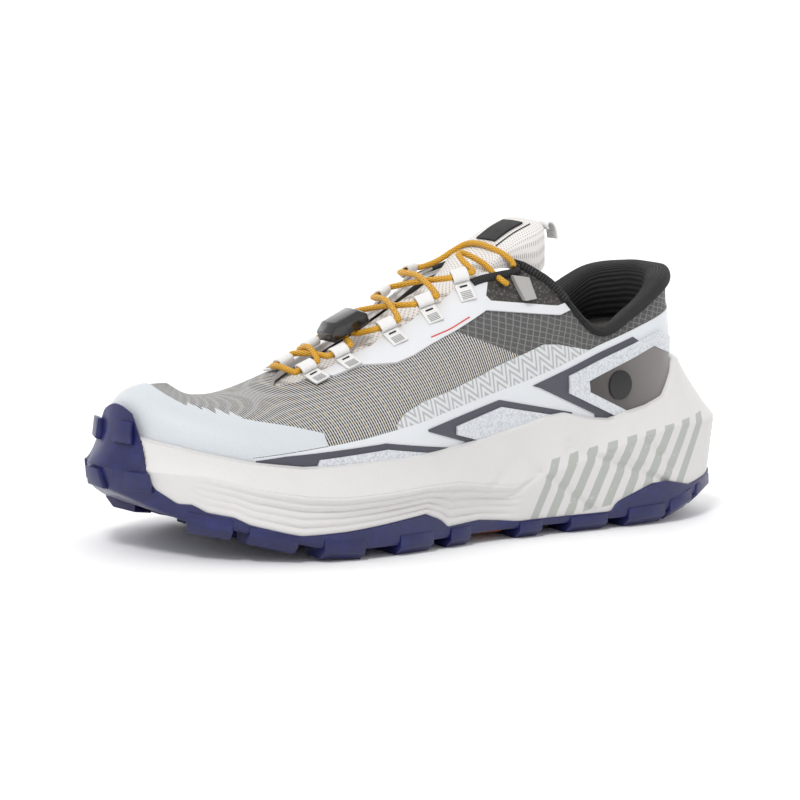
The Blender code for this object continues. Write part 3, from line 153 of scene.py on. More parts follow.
def ring_row(v):
    first = np.floor(v).astype(int)
    knots = (RING[(first + step) % len(RING)] for step in (-1, 0, 1, 2))
    return between_knots(*knots, (v - first)[..., None])


def unit(vectors):
    return vectors / np.maximum(np.linalg.norm(vectors, axis=-1, keepdims=True), 1e-9)


def flat_out(v):
    """Level direction out of the shoe at v."""
    row = ring_row(v)
    return unit(np.stack([row[..., 0] - row[..., 3], row[..., 1], np.zeros_like(v)], -1))


def curve_point(v, t):
    """Point of the shoe's skin: t is 0 at the feather line, 1 at the top, -1 at the footbed."""
    v, t = np.broadcast_arrays(np.asarray(v, float), np.asarray(t, float))
    row = ring_row(v)
    out = flat_out(v)
    up = np.array([0.0, 0.0, 1.0])
    foot = row[..., 0:3]
    top = row[..., 5:8]
    low_lean = np.radians(row[..., 9:10])
    high_lean = np.radians(row[..., 11:12])
    second = foot + row[..., 8:9] * (out * np.sin(low_lean) + up * np.cos(low_lean))
    third = top + row[..., 10:11] * (out * np.sin(high_lean) - up * np.cos(high_lean))
    part = np.clip(t, 0, None)[..., None]
    back = 1 - part
    upper = (foot * back ** 3 + second * 3 * part * back ** 2
             + third * 3 * part ** 2 * back + top * part ** 3)
    below = foot - (out * TUCK + up * RECESS) * np.clip(-t, 0, None)[..., None]
    return np.where((t < 0)[..., None], below, upper)


def skin(v, t, lift=0.0):
    """Point lifted off the skin along its outward normal."""
    v, t = np.broadcast_arrays(np.asarray(v, float), np.asarray(t, float))
    step = 0.02
    round_way = curve_point(v + step, t) - curve_point(v - step, t)
    low = np.where((t > step) | (t <= 0), t - step, 0.0)
    high = np.where((t < 0) | (t <= 1 - step), t + step, t)
    high = np.maximum(np.where(t < 0, np.minimum(high, 0.0), high), low + step)
    up_way = curve_point(v, high) - curve_point(v, low)
    normal = unit(np.cross(up_way, round_way))
    toward = flat_out(v) + np.stack([np.zeros_like(v), np.zeros_like(v), (t > 0.5) * 1.5], -1)
    sign = np.sign((normal * toward).sum(-1, keepdims=True))
    return curve_point(v, t) + normal * sign * np.asarray(lift, float)[..., None]


def find(test, low, high):
    """Places between low and high where a test on arrays turns true."""
    low = np.array(low, float)
    high = np.array(high, float)
    for _ in range(HALVINGS):
        middle = (low + high) / 2
        there = test(middle)
        high = np.where(there, middle, high)
        low = np.where(there, low, middle)
    return (low + high) / 2


def at_height(v, z):
    """Place of a height on the skin, short of its top."""
    v = np.asarray(v, float)
    return find(lambda t: curve_point(v, t)[..., 2] > z, np.full(v.shape, -1.0), np.full(v.shape, 0.98))


def station(v):
    return TOE - np.abs(np.asarray(v, float) % TURN - TOE)


def blend(table, value):
    return np.interp(value, [row[0] for row in table], [row[1] for row in table])


def level(table, s):
    return blend(table, s / LENGTH) * SOLE


def top_edge(v):
    """Where the wall ends: the collar, the throat's edge or the ridge of the toe box."""
    v = np.asarray(v, float)
    place = station(v)
    half = blend(THROAT, place) * BALL
    reached = find(lambda t: np.abs(curve_point(v, t)[..., 1]) < half,
                   np.full(v.shape, 0.3), np.ones(v.shape))
    inside = ((place >= THROAT_START) & (place <= THROAT_END)
              & (np.abs(curve_point(v, 1.0)[..., 1]) < half))
    return np.where(inside, reached, 1.0)


def edge_at(v):
    return float(top_edge(np.array(float(v))))


def spot(v, t, lift=0.0):
    return skin(np.array(float(v)), np.array(float(t)), np.array(float(lift)))


def drop_place(v, edge, drop):
    """Place that lies a length below the edge."""
    top = curve_point(v, edge)
    return find(lambda t: np.linalg.norm(curve_point(v, t) - top, axis=-1) < drop,
                np.zeros(np.shape(v)), edge)


def outline(v, inset=0.0):
    row = ring_row(v)
    foot = np.stack([row[..., 0], row[..., 1], np.zeros_like(v)], -1)
    return foot + flat_out(v) * (row[..., 4:5] - inset)


def rim_height(v):
    return level(RIM_LINE, curve_point(v, 0)[..., 0])


def base_height(s):
    return level(GROUND_LINE, s) + LUG


def flank(v, z, out=0.0):
    """Side of the sole at height z, moved outward by out."""
    v, z, out = np.broadcast_arrays(*(np.asarray(item, float) for item in (v, z, out)))
    edge = outline(v)
    outward = flat_out(v)
    crest = level(CREST_LINE, edge[..., 0])
    rim = rim_height(v)
    above = skin(v, at_height(v, z), SEAT_CLEAR + RIM + out)
    top = skin(v, at_height(v, rim), np.full(v.shape, SEAT_CLEAR + RIM))
    share = (z - crest) / np.maximum(rim - crest, 1.0)
    slope = edge + (top - edge) * share[..., None]
    sag = FLANK_SAG * np.sin(math.pi * np.clip(share, 0, 1))
    slope = np.stack([slope[..., 0], slope[..., 1], z], -1) + outward * (out - sag)[..., None]
    base = base_height(edge[..., 0])
    share = (crest - z) / np.maximum(crest - base, 1.0)
    ribbed = blend(RIB_LINE, edge[..., 0] / LENGTH)
    inset = UNDERCUT * np.clip(share * 3, 0, 1) * ribbed + DRAFT * share
    under = np.stack([edge[..., 0], edge[..., 1], z], -1) + outward * (out - inset)[..., None]
    return np.where((z > rim)[..., None], above, np.where((z >= crest)[..., None], slope, under))


def on_base(v, height, out):
    spot = flank(v, base_height(outline(v)[..., 0]) + height, out)
    return np.stack([spot[..., 0], spot[..., 1], base_height(spot[..., 0]) + height], -1)


def rubber_height(v):
    """Top of the rubber on the side, at least 1 mm over the sole plate."""
    s = outline(v)[..., 0]
    return np.maximum(level(RUBBER_LINE, s), base_height(s) + RUBBER + 1.0)


def to_scene(points):
    points = np.asarray(points, float)
    return np.stack([ORIGIN_S - points[..., 0], ORIGIN_W - points[..., 1], points[..., 2]], -1) * MM


# Camera at the photograph's angle

def place_camera():
    azimuth, elevation, roll = (math.radians(angle) for angle in CAMERA_TURN)
    target = Vector(CAMERA_TARGET) * MM
    back = Vector((math.sin(azimuth) * math.cos(elevation), -math.cos(azimuth) * math.cos(elevation),
                   math.sin(elevation)))
    right = (-back).cross(Vector((0, 0, 1))).normalized()
    up = right.cross(-back)
    tilted_right = math.cos(roll) * right + math.sin(roll) * up
    tilted_up = -math.sin(roll) * right + math.cos(roll) * up
    bpy.ops.object.camera_add()
    camera = bpy.context.object
    camera.name = "camera"
    camera.data.lens = CAMERA_LENS
    camera.data.sensor_width = 36.0
    camera.data.clip_end = 20
    turn = Matrix((tilted_right, tilted_up, back)).transposed().to_4x4()
    camera.matrix_world = Matrix.Translation(target + back * CAMERA_BACK) @ turn
    bpy.context.scene.camera = camera


place_camera()


# Modelling helpers

def only(piece):
    bpy.ops.object.select_all(action="DESELECT")
    piece.select_set(True)
    bpy.context.view_layer.objects.active = piece


@contextmanager
def editing(piece=None):
    """Edit mode: on all of a piece, or on the faces that are chosen already."""
    if piece is not None:
        only(piece)
    bpy.ops.object.mode_set(mode="EDIT")
    if piece is not None:
        bpy.ops.mesh.select_all(action="SELECT")
    yield
    bpy.ops.object.mode_set(mode="OBJECT")


def modify(piece, kind, **settings):
    only(piece)
    modifier = piece.modifiers.new(kind.lower(), kind)
    for key, value in settings.items():
        setattr(modifier, key, value)
    bpy.ops.object.modifier_apply(modifier=modifier.name)


def thicken(piece, thickness, offset, **settings):
    """Makes a sheet a wall: offset 1 grows out of its faces, -1 into them."""
    modify(piece, "SOLIDIFY", thickness=thickness * MM, offset=offset, use_rim=True, **settings)


def bevel(piece, width, segments, angle):
    """Rounds the edges that are sharper than an angle in degrees."""
    modify(piece, "BEVEL", width=width * MM, segments=segments, limit_method="ANGLE",
           angle_limit=math.radians(angle))


def shaped_grid(name, columns, rows, place, texture=None):
    """Grid whose points are put in place by a function of their share across and up it."""
    bpy.ops.object.select_all(action="DESELECT")
    bpy.ops.mesh.primitive_grid_add(x_subdivisions=columns, y_subdivisions=rows, size=2)
    piece = bpy.context.object
    piece.name = name
    mesh = piece.data
    mesh.name = name
    flat = np.zeros(len(mesh.vertices) * 3)
    mesh.vertices.foreach_get("co", flat)
    flat = flat.reshape(-1, 3)
    across = np.round((flat[:, 0] + 1) / 2, 7)
    up = np.round((flat[:, 1] + 1) / 2, 7)
    mesh.vertices.foreach_set("co", to_scene(place(across, up)).ravel())
    if texture is not None:
        layer = mesh.uv_layers[0]
        corner = np.zeros(len(mesh.loops), int)
        mesh.loops.foreach_get("vertex_index", corner)
        layer.data.foreach_set("uv", texture(across, up)[corner].ravel())
    mesh.update()
    return piece


def weld(piece, distance=0.02):
    """Joins points that lie together, and turns all the faces outward."""
    with editing(piece):
        bpy.ops.mesh.remove_doubles(threshold=distance * MM)
        bpy.ops.mesh.normals_make_consistent(inside=False)


def flip(piece):
    with editing(piece):
        bpy.ops.mesh.flip_normals()


def face_out(piece, v, t):
    """Turns a patch's faces out of the shoe, by the face nearest to a place on the skin."""
    place = Vector(to_scene(curve_point(np.array(v), np.array(t))))
    outward = Vector(to_scene(spot(v, t, 1.0))) - place
    near = min(piece.data.polygons, key=lambda face: (face.center - place).length)
    if near.normal.dot(outward) < 0:
        flip(piece)


def turn_up(piece):
    """Turns a sheet's faces upward."""
    if sum(face.normal.z for face in piece.data.polygons) < 0:
        flip(piece)


def close_ends(piece):
    with editing(piece):
        bpy.ops.mesh.region_to_loop()
        bpy.ops.mesh.fill_holes(sides=0)
        bpy.ops.mesh.select_all(action="SELECT")
        bpy.ops.mesh.normals_make_consistent(inside=False)


def join(pieces, name):
    bpy.ops.object.select_all(action="DESELECT")
    for piece in pieces:
        piece.select_set(True)
    bpy.context.view_layer.objects.active = pieces[0]
    bpy.ops.object.join()
    pieces[0].name = name
    pieces[0].data.name = name
    return pieces[0]


def smooth(piece, angle=40):
    only(piece)
    bpy.ops.object.shade_smooth_by_angle(angle=math.radians(angle))


def finish(piece, material, slot, *nodes):
    """Gives the piece its material, makes it ride on the shoe and stand for its solids."""
    if material is not None:
        piece.data.materials.clear()
        piece.data.materials.append(material)
    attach(piece, "root")
    if nodes:
        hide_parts(*nodes)
    return piece


def face_places(mesh):
    places = np.zeros(len(mesh.polygons) * 3)
    mesh.polygons.foreach_get("center", places)
    return places.reshape(-1, 3)


def choose(mesh, chosen):
    """Selects faces, with their edges and corners."""
    counts = np.zeros(len(mesh.polygons), int)
    mesh.polygons.foreach_get("loop_total", counts)
    corners = np.zeros(len(mesh.loops), int)
    mesh.loops.foreach_get("vertex_index", corners)
    edges = np.zeros(len(mesh.loops), int)
    mesh.loops.foreach_get("edge_index", edges)
    part = np.repeat(chosen, counts)
    for items, used in ((mesh.vertices, corners[part]), (mesh.edges, edges[part])):
        flags = np.zeros(len(items), bool)
        flags[used] = True
        items.foreach_set("select", flags)
    mesh.polygons.foreach_set("select", chosen)


def inside_outline(points, corners):
    """Even and odd test of points against an outline, both seen from the side."""
    x, z = points[:, 0], points[:, 1]
    within = np.zeros(len(points), bool)
    for (x0, z0), (x1, z1) in zip(corners, corners[1:] + corners[:1]):
        crosses = (z0 > z) != (z1 > z)
        if z0 != z1:
            within ^= crosses & (x < (x1 - x0) * (z - z0) / (z1 - z0) + x0)
    return within


def trim_to(piece, corners):
    """Cuts a patch along an outline seen from the side, with a bisect for each of its lines."""
    only(piece)
    mesh = piece.data
    ends = [((ORIGIN_S - s * LENGTH) * MM, z * COLLAR * MM) for s, z in corners]
    room = 3 * MM
    for (x0, z0), (x1, z1) in zip(ends, ends[1:] + ends[:1]):
        places = face_places(mesh)
        near = ((places[:, 0] > min(x0, x1) - room) & (places[:, 0] < max(x0, x1) + room)
                & (places[:, 2] > min(z0, z1) - room) & (places[:, 2] < max(z0, z1) + room))
        if not near.any():
            continue
        choose(mesh, near)
        size = math.hypot(x1 - x0, z1 - z0)
        with editing():
            bpy.ops.mesh.bisect(plane_co=(x0, 0, z0), threshold=1e-6,
                                plane_no=((z0 - z1) / size, 0, (x1 - x0) / size))
    choose(mesh, ~inside_outline(face_places(mesh)[:, [0, 2]], ends))
    with editing():
        bpy.ops.mesh.delete(type="FACE")


# Shader helper

class Field:
    """Value in a shader, with Python's operators."""

    def __init__(self, finish_, socket):
        self.finish = finish_
        self.socket = socket

    def _math(self, operation, *others):
        return self.finish.math(operation, self, *others)

    def __add__(self, other):
        return self._math("ADD", other)

    def __mul__(self, other):
        return self._math("MULTIPLY", other)

    def __sub__(self, other):
        return self._math("SUBTRACT", other)

    def __rsub__(self, other):
        return self.finish.math("SUBTRACT", other, self)

    def __truediv__(self, other):
        return self._math("DIVIDE", other)

    __radd__ = __add__
    __rmul__ = __mul__


class Finish:
    """Material with a Principled shader and plain calls for its nodes."""

    def __init__(self, name, **settings):
        self.material = bpy.data.materials.new(name)
        self.material.use_nodes = True
        self.tree = self.material.node_tree
        self.shader = self.tree.nodes["Principled BSDF"]
        for key, value in settings.items():
            self.shader.inputs[key.replace("_", " ")].default_value = value
        self.place = self.node("ShaderNodeTexCoord").outputs["Object"]
        split = self.node("ShaderNodeSeparateXYZ", {0: self.place})
        self.s = ORIGIN_S - Field(self, split.outputs[0]) * 1000
        self.z = Field(self, split.outputs[2]) * 1000

    def node(self, kind, inputs=None, **settings):
        made = self.tree.nodes.new(kind)
        for key, value in settings.items():
            setattr(made, key, value)
        for key, value in (inputs or {}).items():
            self.put(made.inputs[key], value)
        return made

    def put(self, socket, value):
        if isinstance(value, Field):
            value = value.socket
        if isinstance(value, bpy.types.NodeSocket):
            self.tree.links.new(value, socket)
        elif isinstance(value, tuple) and len(value) == 3 and socket.type == "RGBA":
            socket.default_value = (*value, 1.0)
        else:
            socket.default_value = value

    def math(self, operation, *values):
        made = self.node("ShaderNodeMath", operation=operation)
        for socket, value in zip(made.inputs, values):
            self.put(socket, value)
        return Field(self, made.outputs[0])

    def ramp(self, value, low, high):
        """0 below low, 1 above high, smooth between."""
        made = self.node("ShaderNodeMapRange", {0: value, 1: low, 2: high},
                         interpolation_type="SMOOTHSTEP")
        return Field(self, made.outputs[0])

    def wave(self, value, pitch):
        """Sine from 0 to 1 with a pitch."""
        return self.math("SINE", value * (math.tau / pitch)) * 0.5 + 0.5

    def part(self, value, pitch):
        """Place inside a repeat, from 0 to 1."""
        return self.math("FRACT", value / pitch)

    def tri(self, value, pitch):
        """Triangle wave from 0 to 1."""
        return self.math("ABSOLUTE", self.part(value, pitch) * 2 - 1)

    def noise(self, scale, detail=2.0, roughness=0.5):
        made = self.node("ShaderNodeTexNoise", {"Vector": self.place, "Scale": scale,
                                                 "Detail": detail, "Roughness": roughness})
        return Field(self, made.outputs[0])

    def cells(self, scale):
        """Rounded lumps, as in crinkled or stippled skin."""
        made = self.node("ShaderNodeTexVoronoi", {"Vector": self.place, "Scale": scale},
                         feature="SMOOTH_F1")
        return Field(self, made.outputs[0])

    def mix(self, factor, first, second):
        made = self.node("ShaderNodeMix", data_type="RGBA")
        for number, value in ((0, factor), (6, first), (7, second)):
            self.put(made.inputs[number], value)
        return made.outputs[2]

    def threads(self):
        """The piece's own map, in millimetres."""
        own_map = self.node("ShaderNodeTexCoord").outputs["UV"]
        split = self.node("ShaderNodeSeparateXYZ", {0: own_map})
        return [Field(self, socket) for socket in split.outputs[:2]]

    def done(self, colour, roughness=None, height=None, strength=0.5, depth=0.3):
        """Links what changes over the surface; depth is the bump's height in millimetres."""
        self.put(self.shader.inputs["Base Color"], colour)
        if roughness is not None:
            self.put(self.shader.inputs["Roughness"], roughness)
        if height is not None:
            bump = self.node("ShaderNodeBump", {"Height": height, "Strength": strength,
                                                "Distance": depth * MM})
            self.put(self.shader.inputs["Normal"], bump.outputs[0])
        return self.material


def shade(red, green, blue):
    """Colour given as on the screen, for the shader."""
    return tuple((c / 255 / 12.92 if c <= 10 else ((c / 255 + 0.055) / 1.055) ** 2.4)
                 for c in (red, green, blue))


def upper_fabric():
    """Striped mesh with gold specks over the forefoot, gridded cloth on the rear quarter."""
    look = Finish("upper_fabric", Roughness=0.8)
    tilt = math.radians(12)
    across = look.s * -math.cos(tilt) + look.z * math.sin(tilt)
    along = look.z * math.cos(tilt) + look.s * math.sin(tilt)
    stripe = look.ramp(look.wave(across, 1.15), 0.42, 0.74)
    dots = look.wave(along, 1.3)
    colour = look.mix(stripe, shade(26, 26, 28), shade(204, 203, 202))
    colour = look.mix(look.ramp(dots, 0.55, 0.9) * (1 - stripe) * 0.45, colour, shade(150, 148, 146))
    gold = (look.ramp(look.wave(across + 0.52, 4.2), 0.90, 0.96)
            * look.ramp(look.wave(along, 2.4), 0.35, 0.6))
    fade = look.ramp(look.z + (look.s - 200) * 0.25, 86, 60)
    colour = look.mix(gold * fade * 0.45, colour, shade(200, 166, 84))
    rear = look.ramp((look.z - 78) * 28.9 - (look.s - 127.7) * 10.5, -12, 12)
    rear = look.math("MAXIMUM", rear * look.ramp(look.s, 159, 156), look.ramp(look.s, 128.4, 127.6))
    warp = look.noise(90, 2) * 3.2 * 0.6
    first = look.tri(look.s * 0.94 + look.z * 0.34 + warp, 3.4)
    second = look.tri(look.z * 1.02 - look.s * 0.24 + warp, 2.5)
    lines = look.math("MAXIMUM", look.ramp(first, 0.72, 0.97), look.ramp(second, 0.72, 0.97))
    cloth = look.mix(look.wave(look.s + look.z * 0.4, 0.8) * 0.5 + look.noise(350) * 0.4,
                     shade(66, 66, 67), shade(98, 97, 96))
    cloth = look.mix(lines * 0.5, cloth, shade(150, 149, 147))
    colour = look.mix(rear, colour, cloth)
    height = stripe * (1 - rear) + (lines * 1.3 + look.noise(240) * 0.8) * rear
    return look.done(colour, 0.75 - lines * rear * 0.2, height, 0.55, 0.25)


def film(name, colour, roughness=0.45, grain=0.3, pitch=0.5):
    """Thin welded film with the weave under it showing faintly."""
    look = Finish(name, Roughness=roughness)
    weave = look.wave(look.s + look.z * 0.6, pitch) * look.wave(look.s * -0.6 + look.z, pitch)
    patches = look.noise(18, 3)
    tone = look.mix(patches * 0.5 + weave * 0.15, tuple(c * 0.9 for c in colour), colour)
    return look.done(tone, look.noise(60) * 0.15 + roughness - 0.07, weave + look.noise(500) * 0.6,
                     grain, 0.12)


def chevron_film():
    """Light film printed with fine grey zigzags."""
    look = Finish("chevron_film", Roughness=0.45)
    along = look.s * 0.86 - look.z * 0.5
    up = look.z * 0.86 + look.s * 0.5
    herring = look.part(up * 0.8 + look.tri(along, 8.4) * 6.2 + look.noise(80) * 1.2, 3.5)
    lines = look.ramp(herring, 0.5, 0.58) * look.ramp(herring, 1.0, 0.93)
    light = look.mix(look.wave(look.s + look.z, 0.7) * 0.5, shade(204, 206, 208), shade(222, 223, 225))
    colour = look.mix(lines * 0.7, light, shade(150, 151, 153))
    return look.done(colour, 0.45, lines * -1.0 + look.noise(400) * 0.5, 0.4, 0.15)


def pod_film():
    """Silver film with a lumpy, hammered face, with painted shade darkening the hollows between the lumps.
    """
    look = Finish("pod_film", Roughness=0.36, Metallic=0.15)
    lumps = look.cells(1150)
    # Painted shade: the tone darkens where the bump dips, in the hollows between the lumps.
    tone = look.mix(lumps * 1.1, shade(226, 229, 233), shade(176, 180, 186))
    return look.done(tone, 0.36, lumps * -1.0, 0.7, 0.25)


def badge_plate():
    """Moulded plate, darker to its lower front, with a brushed grain."""
    look = Finish("badge_plate", Roughness=0.38, Metallic=0.35)
    toward = look.ramp(look.s * 0.8 - look.z * 0.6, -12, 38)
    grain = look.noise(900, 1)
    tone = look.mix(toward, shade(132, 127, 126), shade(74, 70, 70))
    return look.done(tone, grain * 0.2 + 0.28, grain, 0.15, 0.1)


def plain(name, colour, roughness, scale, strength, variation=0.12, coat=0.0):
    """Moulded or woven surface with a fine grain and a slight change of tone."""
    look = Finish(name, Roughness=roughness, Coat_Weight=coat)
    grain = look.noise(scale, 3)
    tone = look.mix(look.noise(35, 3), tuple(c * (1 - variation) for c in colour), colour)
    return look.done(tone, grain * 0.2 + roughness - 0.1, grain, strength, 0.15)


def crinkle_film():
    """Dark crinkled film of the ankle panels."""
    look = Finish("crinkle_film", Roughness=0.42)
    folds = look.cells(800) + look.noise(700, 3) * 0.8
    tone = look.mix(look.ramp(folds, 0.35, 0.9), shade(104, 100, 94), shade(50, 48, 46))
    return look.done(tone, 0.42, folds, 0.8, 0.45)


def collar_knit():
    """Black ribbed knit, its ribs along the collar, with painted highlight on the crests of its ribs and
    loops and painted shade in the troughs.
    """
    look = Finish("collar_knit", Roughness=0.95)
    along, around = look.threads()
    rib = look.wave(along + look.noise(40) * 0.8, 1.2)
    loop = look.wave(around + look.tri(along, 1.7) * 0.6, 1.1)
    height = rib * 0.8 + loop * 0.4
    # Painted highlight and shade: the tone follows the bump height, lighter on the raised ribs and loops,
    # darker in the troughs.
    tone = look.mix(look.ramp(height, 0.2, 1.0), shade(17, 17, 18), shade(56, 55, 56))
    return look.done(tone, 0.95, height, 0.8, 0.35)


def tongue_mesh():
    """Off-white spacer mesh with rows of small holes, with painted shade darkening the holes."""
    look = Finish("tongue_mesh", Roughness=0.85)
    along, around = look.threads()
    first = look.wave(along + around, 2.1) * look.wave(along - around, 2.1)
    holes = look.ramp(first, 0.55, 0.8)
    # Painted shade: the holes, which are dips of the bump, are coloured darker.
    tone = look.mix(holes, shade(226, 223, 220), shade(150, 146, 142))
    return look.done(tone, 0.85, holes * -1.0 + look.noise(500) * 0.3, 0.6, 0.3)


def lace_braid():
    """Golden braid that winds both ways round the lace, with painted highlight on its raised strands and
    painted shade in its grooves.
    """
    look = Finish("lace_braid", Roughness=0.55)
    along, around = look.threads()
    first = look.wave(along + around * 1.6, 1.5)
    second = look.wave(along - around * 1.6, 1.5)
    braid = look.math("MAXIMUM", first, second)
    # Painted highlight and shade: the tone follows the braid's bump, bright on the strands' crests, dark in
    # the grooves.
    tone = look.mix(look.ramp(braid, 0.45, 0.95), shade(150, 100, 12), shade(230, 174, 40))
    return look.done(tone, 0.55, braid, 0.7, 0.2)


def foam_white():
    """Midsole foam: stippled on its upper band, with a generic print of slanted bars at the heel."""
    look = Finish("foam_white", Roughness=0.55)
    stipple = look.cells(1000)
    across = look.s + look.z * 0.42
    slant = look.part(across - 33, 10.0)
    bars = look.ramp(slant, 0.0, 0.04) * look.ramp(slant, 0.56, 0.52)
    reach = look.ramp(across, 42, 42.6) * look.ramp(across, 128, 127.4)
    low = look.ramp(look.z + look.s * 0.12, 20.0, 20.6)
    high = look.ramp(look.z + look.s * 0.17, 53.0, 52.4)
    printed = bars * reach * low * high * look.ramp(look.noise(700, 2), 0.18, 0.36)
    white = look.mix(look.noise(20, 3), shade(206, 204, 203), shade(216, 214, 213))
    tone = look.mix(printed * 0.8, white, shade(160, 165, 158))
    return look.done(tone, 0.55, stipple * -1.0 + look.noise(800) * 0.4, 0.28, 0.18)


def rubber_blue():
    look = Finish("rubber_blue", Roughness=0.42, Coat_Weight=0.15)
    scuff = look.noise(160, 5, roughness=0.7)
    tone = look.mix(look.ramp(scuff, 0.4, 0.75), shade(17, 20, 74), shade(29, 33, 96))
    return look.done(tone, scuff * 0.3 + 0.3, look.noise(650, 3), 0.25, 0.15)


LOOKS = {
    "fabric": upper_fabric(), "cap": film("cap_film", shade(206, 211, 216), 0.5, 0.5, 0.9),
    "white": film("white_film", shade(224, 225, 228), 0.42, 0.15),
    "cage": film("cage_film", shade(222, 225, 229), 0.4, 0.2),
    "dark": film("dark_film", shade(74, 76, 86), 0.45, 0.2),
    "chevron": chevron_film(), "pod": pod_film(), "badge": badge_plate(),
    "disc": plain("disc_black", shade(20, 20, 21), 0.35, 500, 0.3),
    "crinkle": crinkle_film(), "collar": collar_knit(), "tongue": tongue_mesh(),
    "lace": lace_braid(), "foam": foam_white(), "rubber": rubber_blue(),
    "lining": plain("lining_grey", shade(128, 126, 124), 0.9, 900, 0.5),
    "insole": plain("insole_cloth", shade(58, 58, 60), 0.9, 900, 0.6),
    "lock": plain("lock_black", shade(24, 23, 23), 0.22, 300, 0.1, 0.2, 0.5),
    "clip": plain("clip_grey", shade(170, 168, 164), 0.35, 300, 0.2),
    "brown": plain("plate_brown", shade(160, 86, 22), 0.35, 300, 0.15),
    "webbing": film("webbing", shade(232, 231, 229), 0.6, 0.7, 0.8),
    "label": plain("label_black", shade(26, 26, 27), 0.7, 900, 0.4),
    "red": plain("red_thread", shade(214, 60, 48), 0.6, 900, 0.3),
    "stitch": plain("stitch_grey", shade(150, 150, 152), 0.8, 900, 0.4),
    "black": plain("tack_black", shade(24, 24, 25), 0.8, 900, 0.4),
}


# Upper: one wall of mesh, from the footbed to the collar and the throat

HEM = 0.012             # the wall ends this far behind the eyestay's edge
FOOT = -1 + 0.3 / RECESS    # the wall starts just above the footbed


def make_upper():
    """Wall with the fabric outside, the lining inside and white film round its rim."""
    columns = np.linspace(0, TURN, UPPER_COLUMNS + 1)
    edge = top_edge(columns)
    behind = (station(columns) > THROAT_START) & (station(columns) < THROAT_END)
    edge = np.where(behind, np.minimum(edge, eyestay_top(columns) - HEM), edge)

    def place(across, up):
        v = across * TURN
        return skin(v, FOOT + (np.interp(v, columns, edge) - FOOT) * up)

    piece = shaped_grid("upper_mesh", UPPER_COLUMNS, UPPER_ROWS, place)
    weld(piece)
    face_out(piece, 3.0, 0.4)
    for look in ("fabric", "lining", "white"):
        piece.data.materials.append(LOOKS[look])
    thicken(piece, WALL, -1.0, material_offset=1, material_offset_rim=2)
    smooth(piece, 60)
    return finish(piece, None, "mesh_grey", "upper")


# Overlays: outlines seen from the side, as shares of the length and the collar's height
CAGE_TOP = (
    (0.851, 0.385), (0.734, 0.430), (0.700, 0.443), (0.664, 0.462), (0.646, 0.471),
    (0.602, 0.493), (0.515, 0.547), (0.412, 0.610), (0.360, 0.649), (0.286, 0.713),
    (0.137, 0.838), (0.085, 0.870), (-0.03, 0.870),
)
CHEVRON_TOP = (
    (0.286, 0.713), (0.347, 0.744), (0.373, 0.747), (0.412, 0.713), (0.456, 0.676),
    (0.489, 0.644), (0.552, 0.591), (0.597, 0.562), (0.631, 0.524), (0.646, 0.490),
)
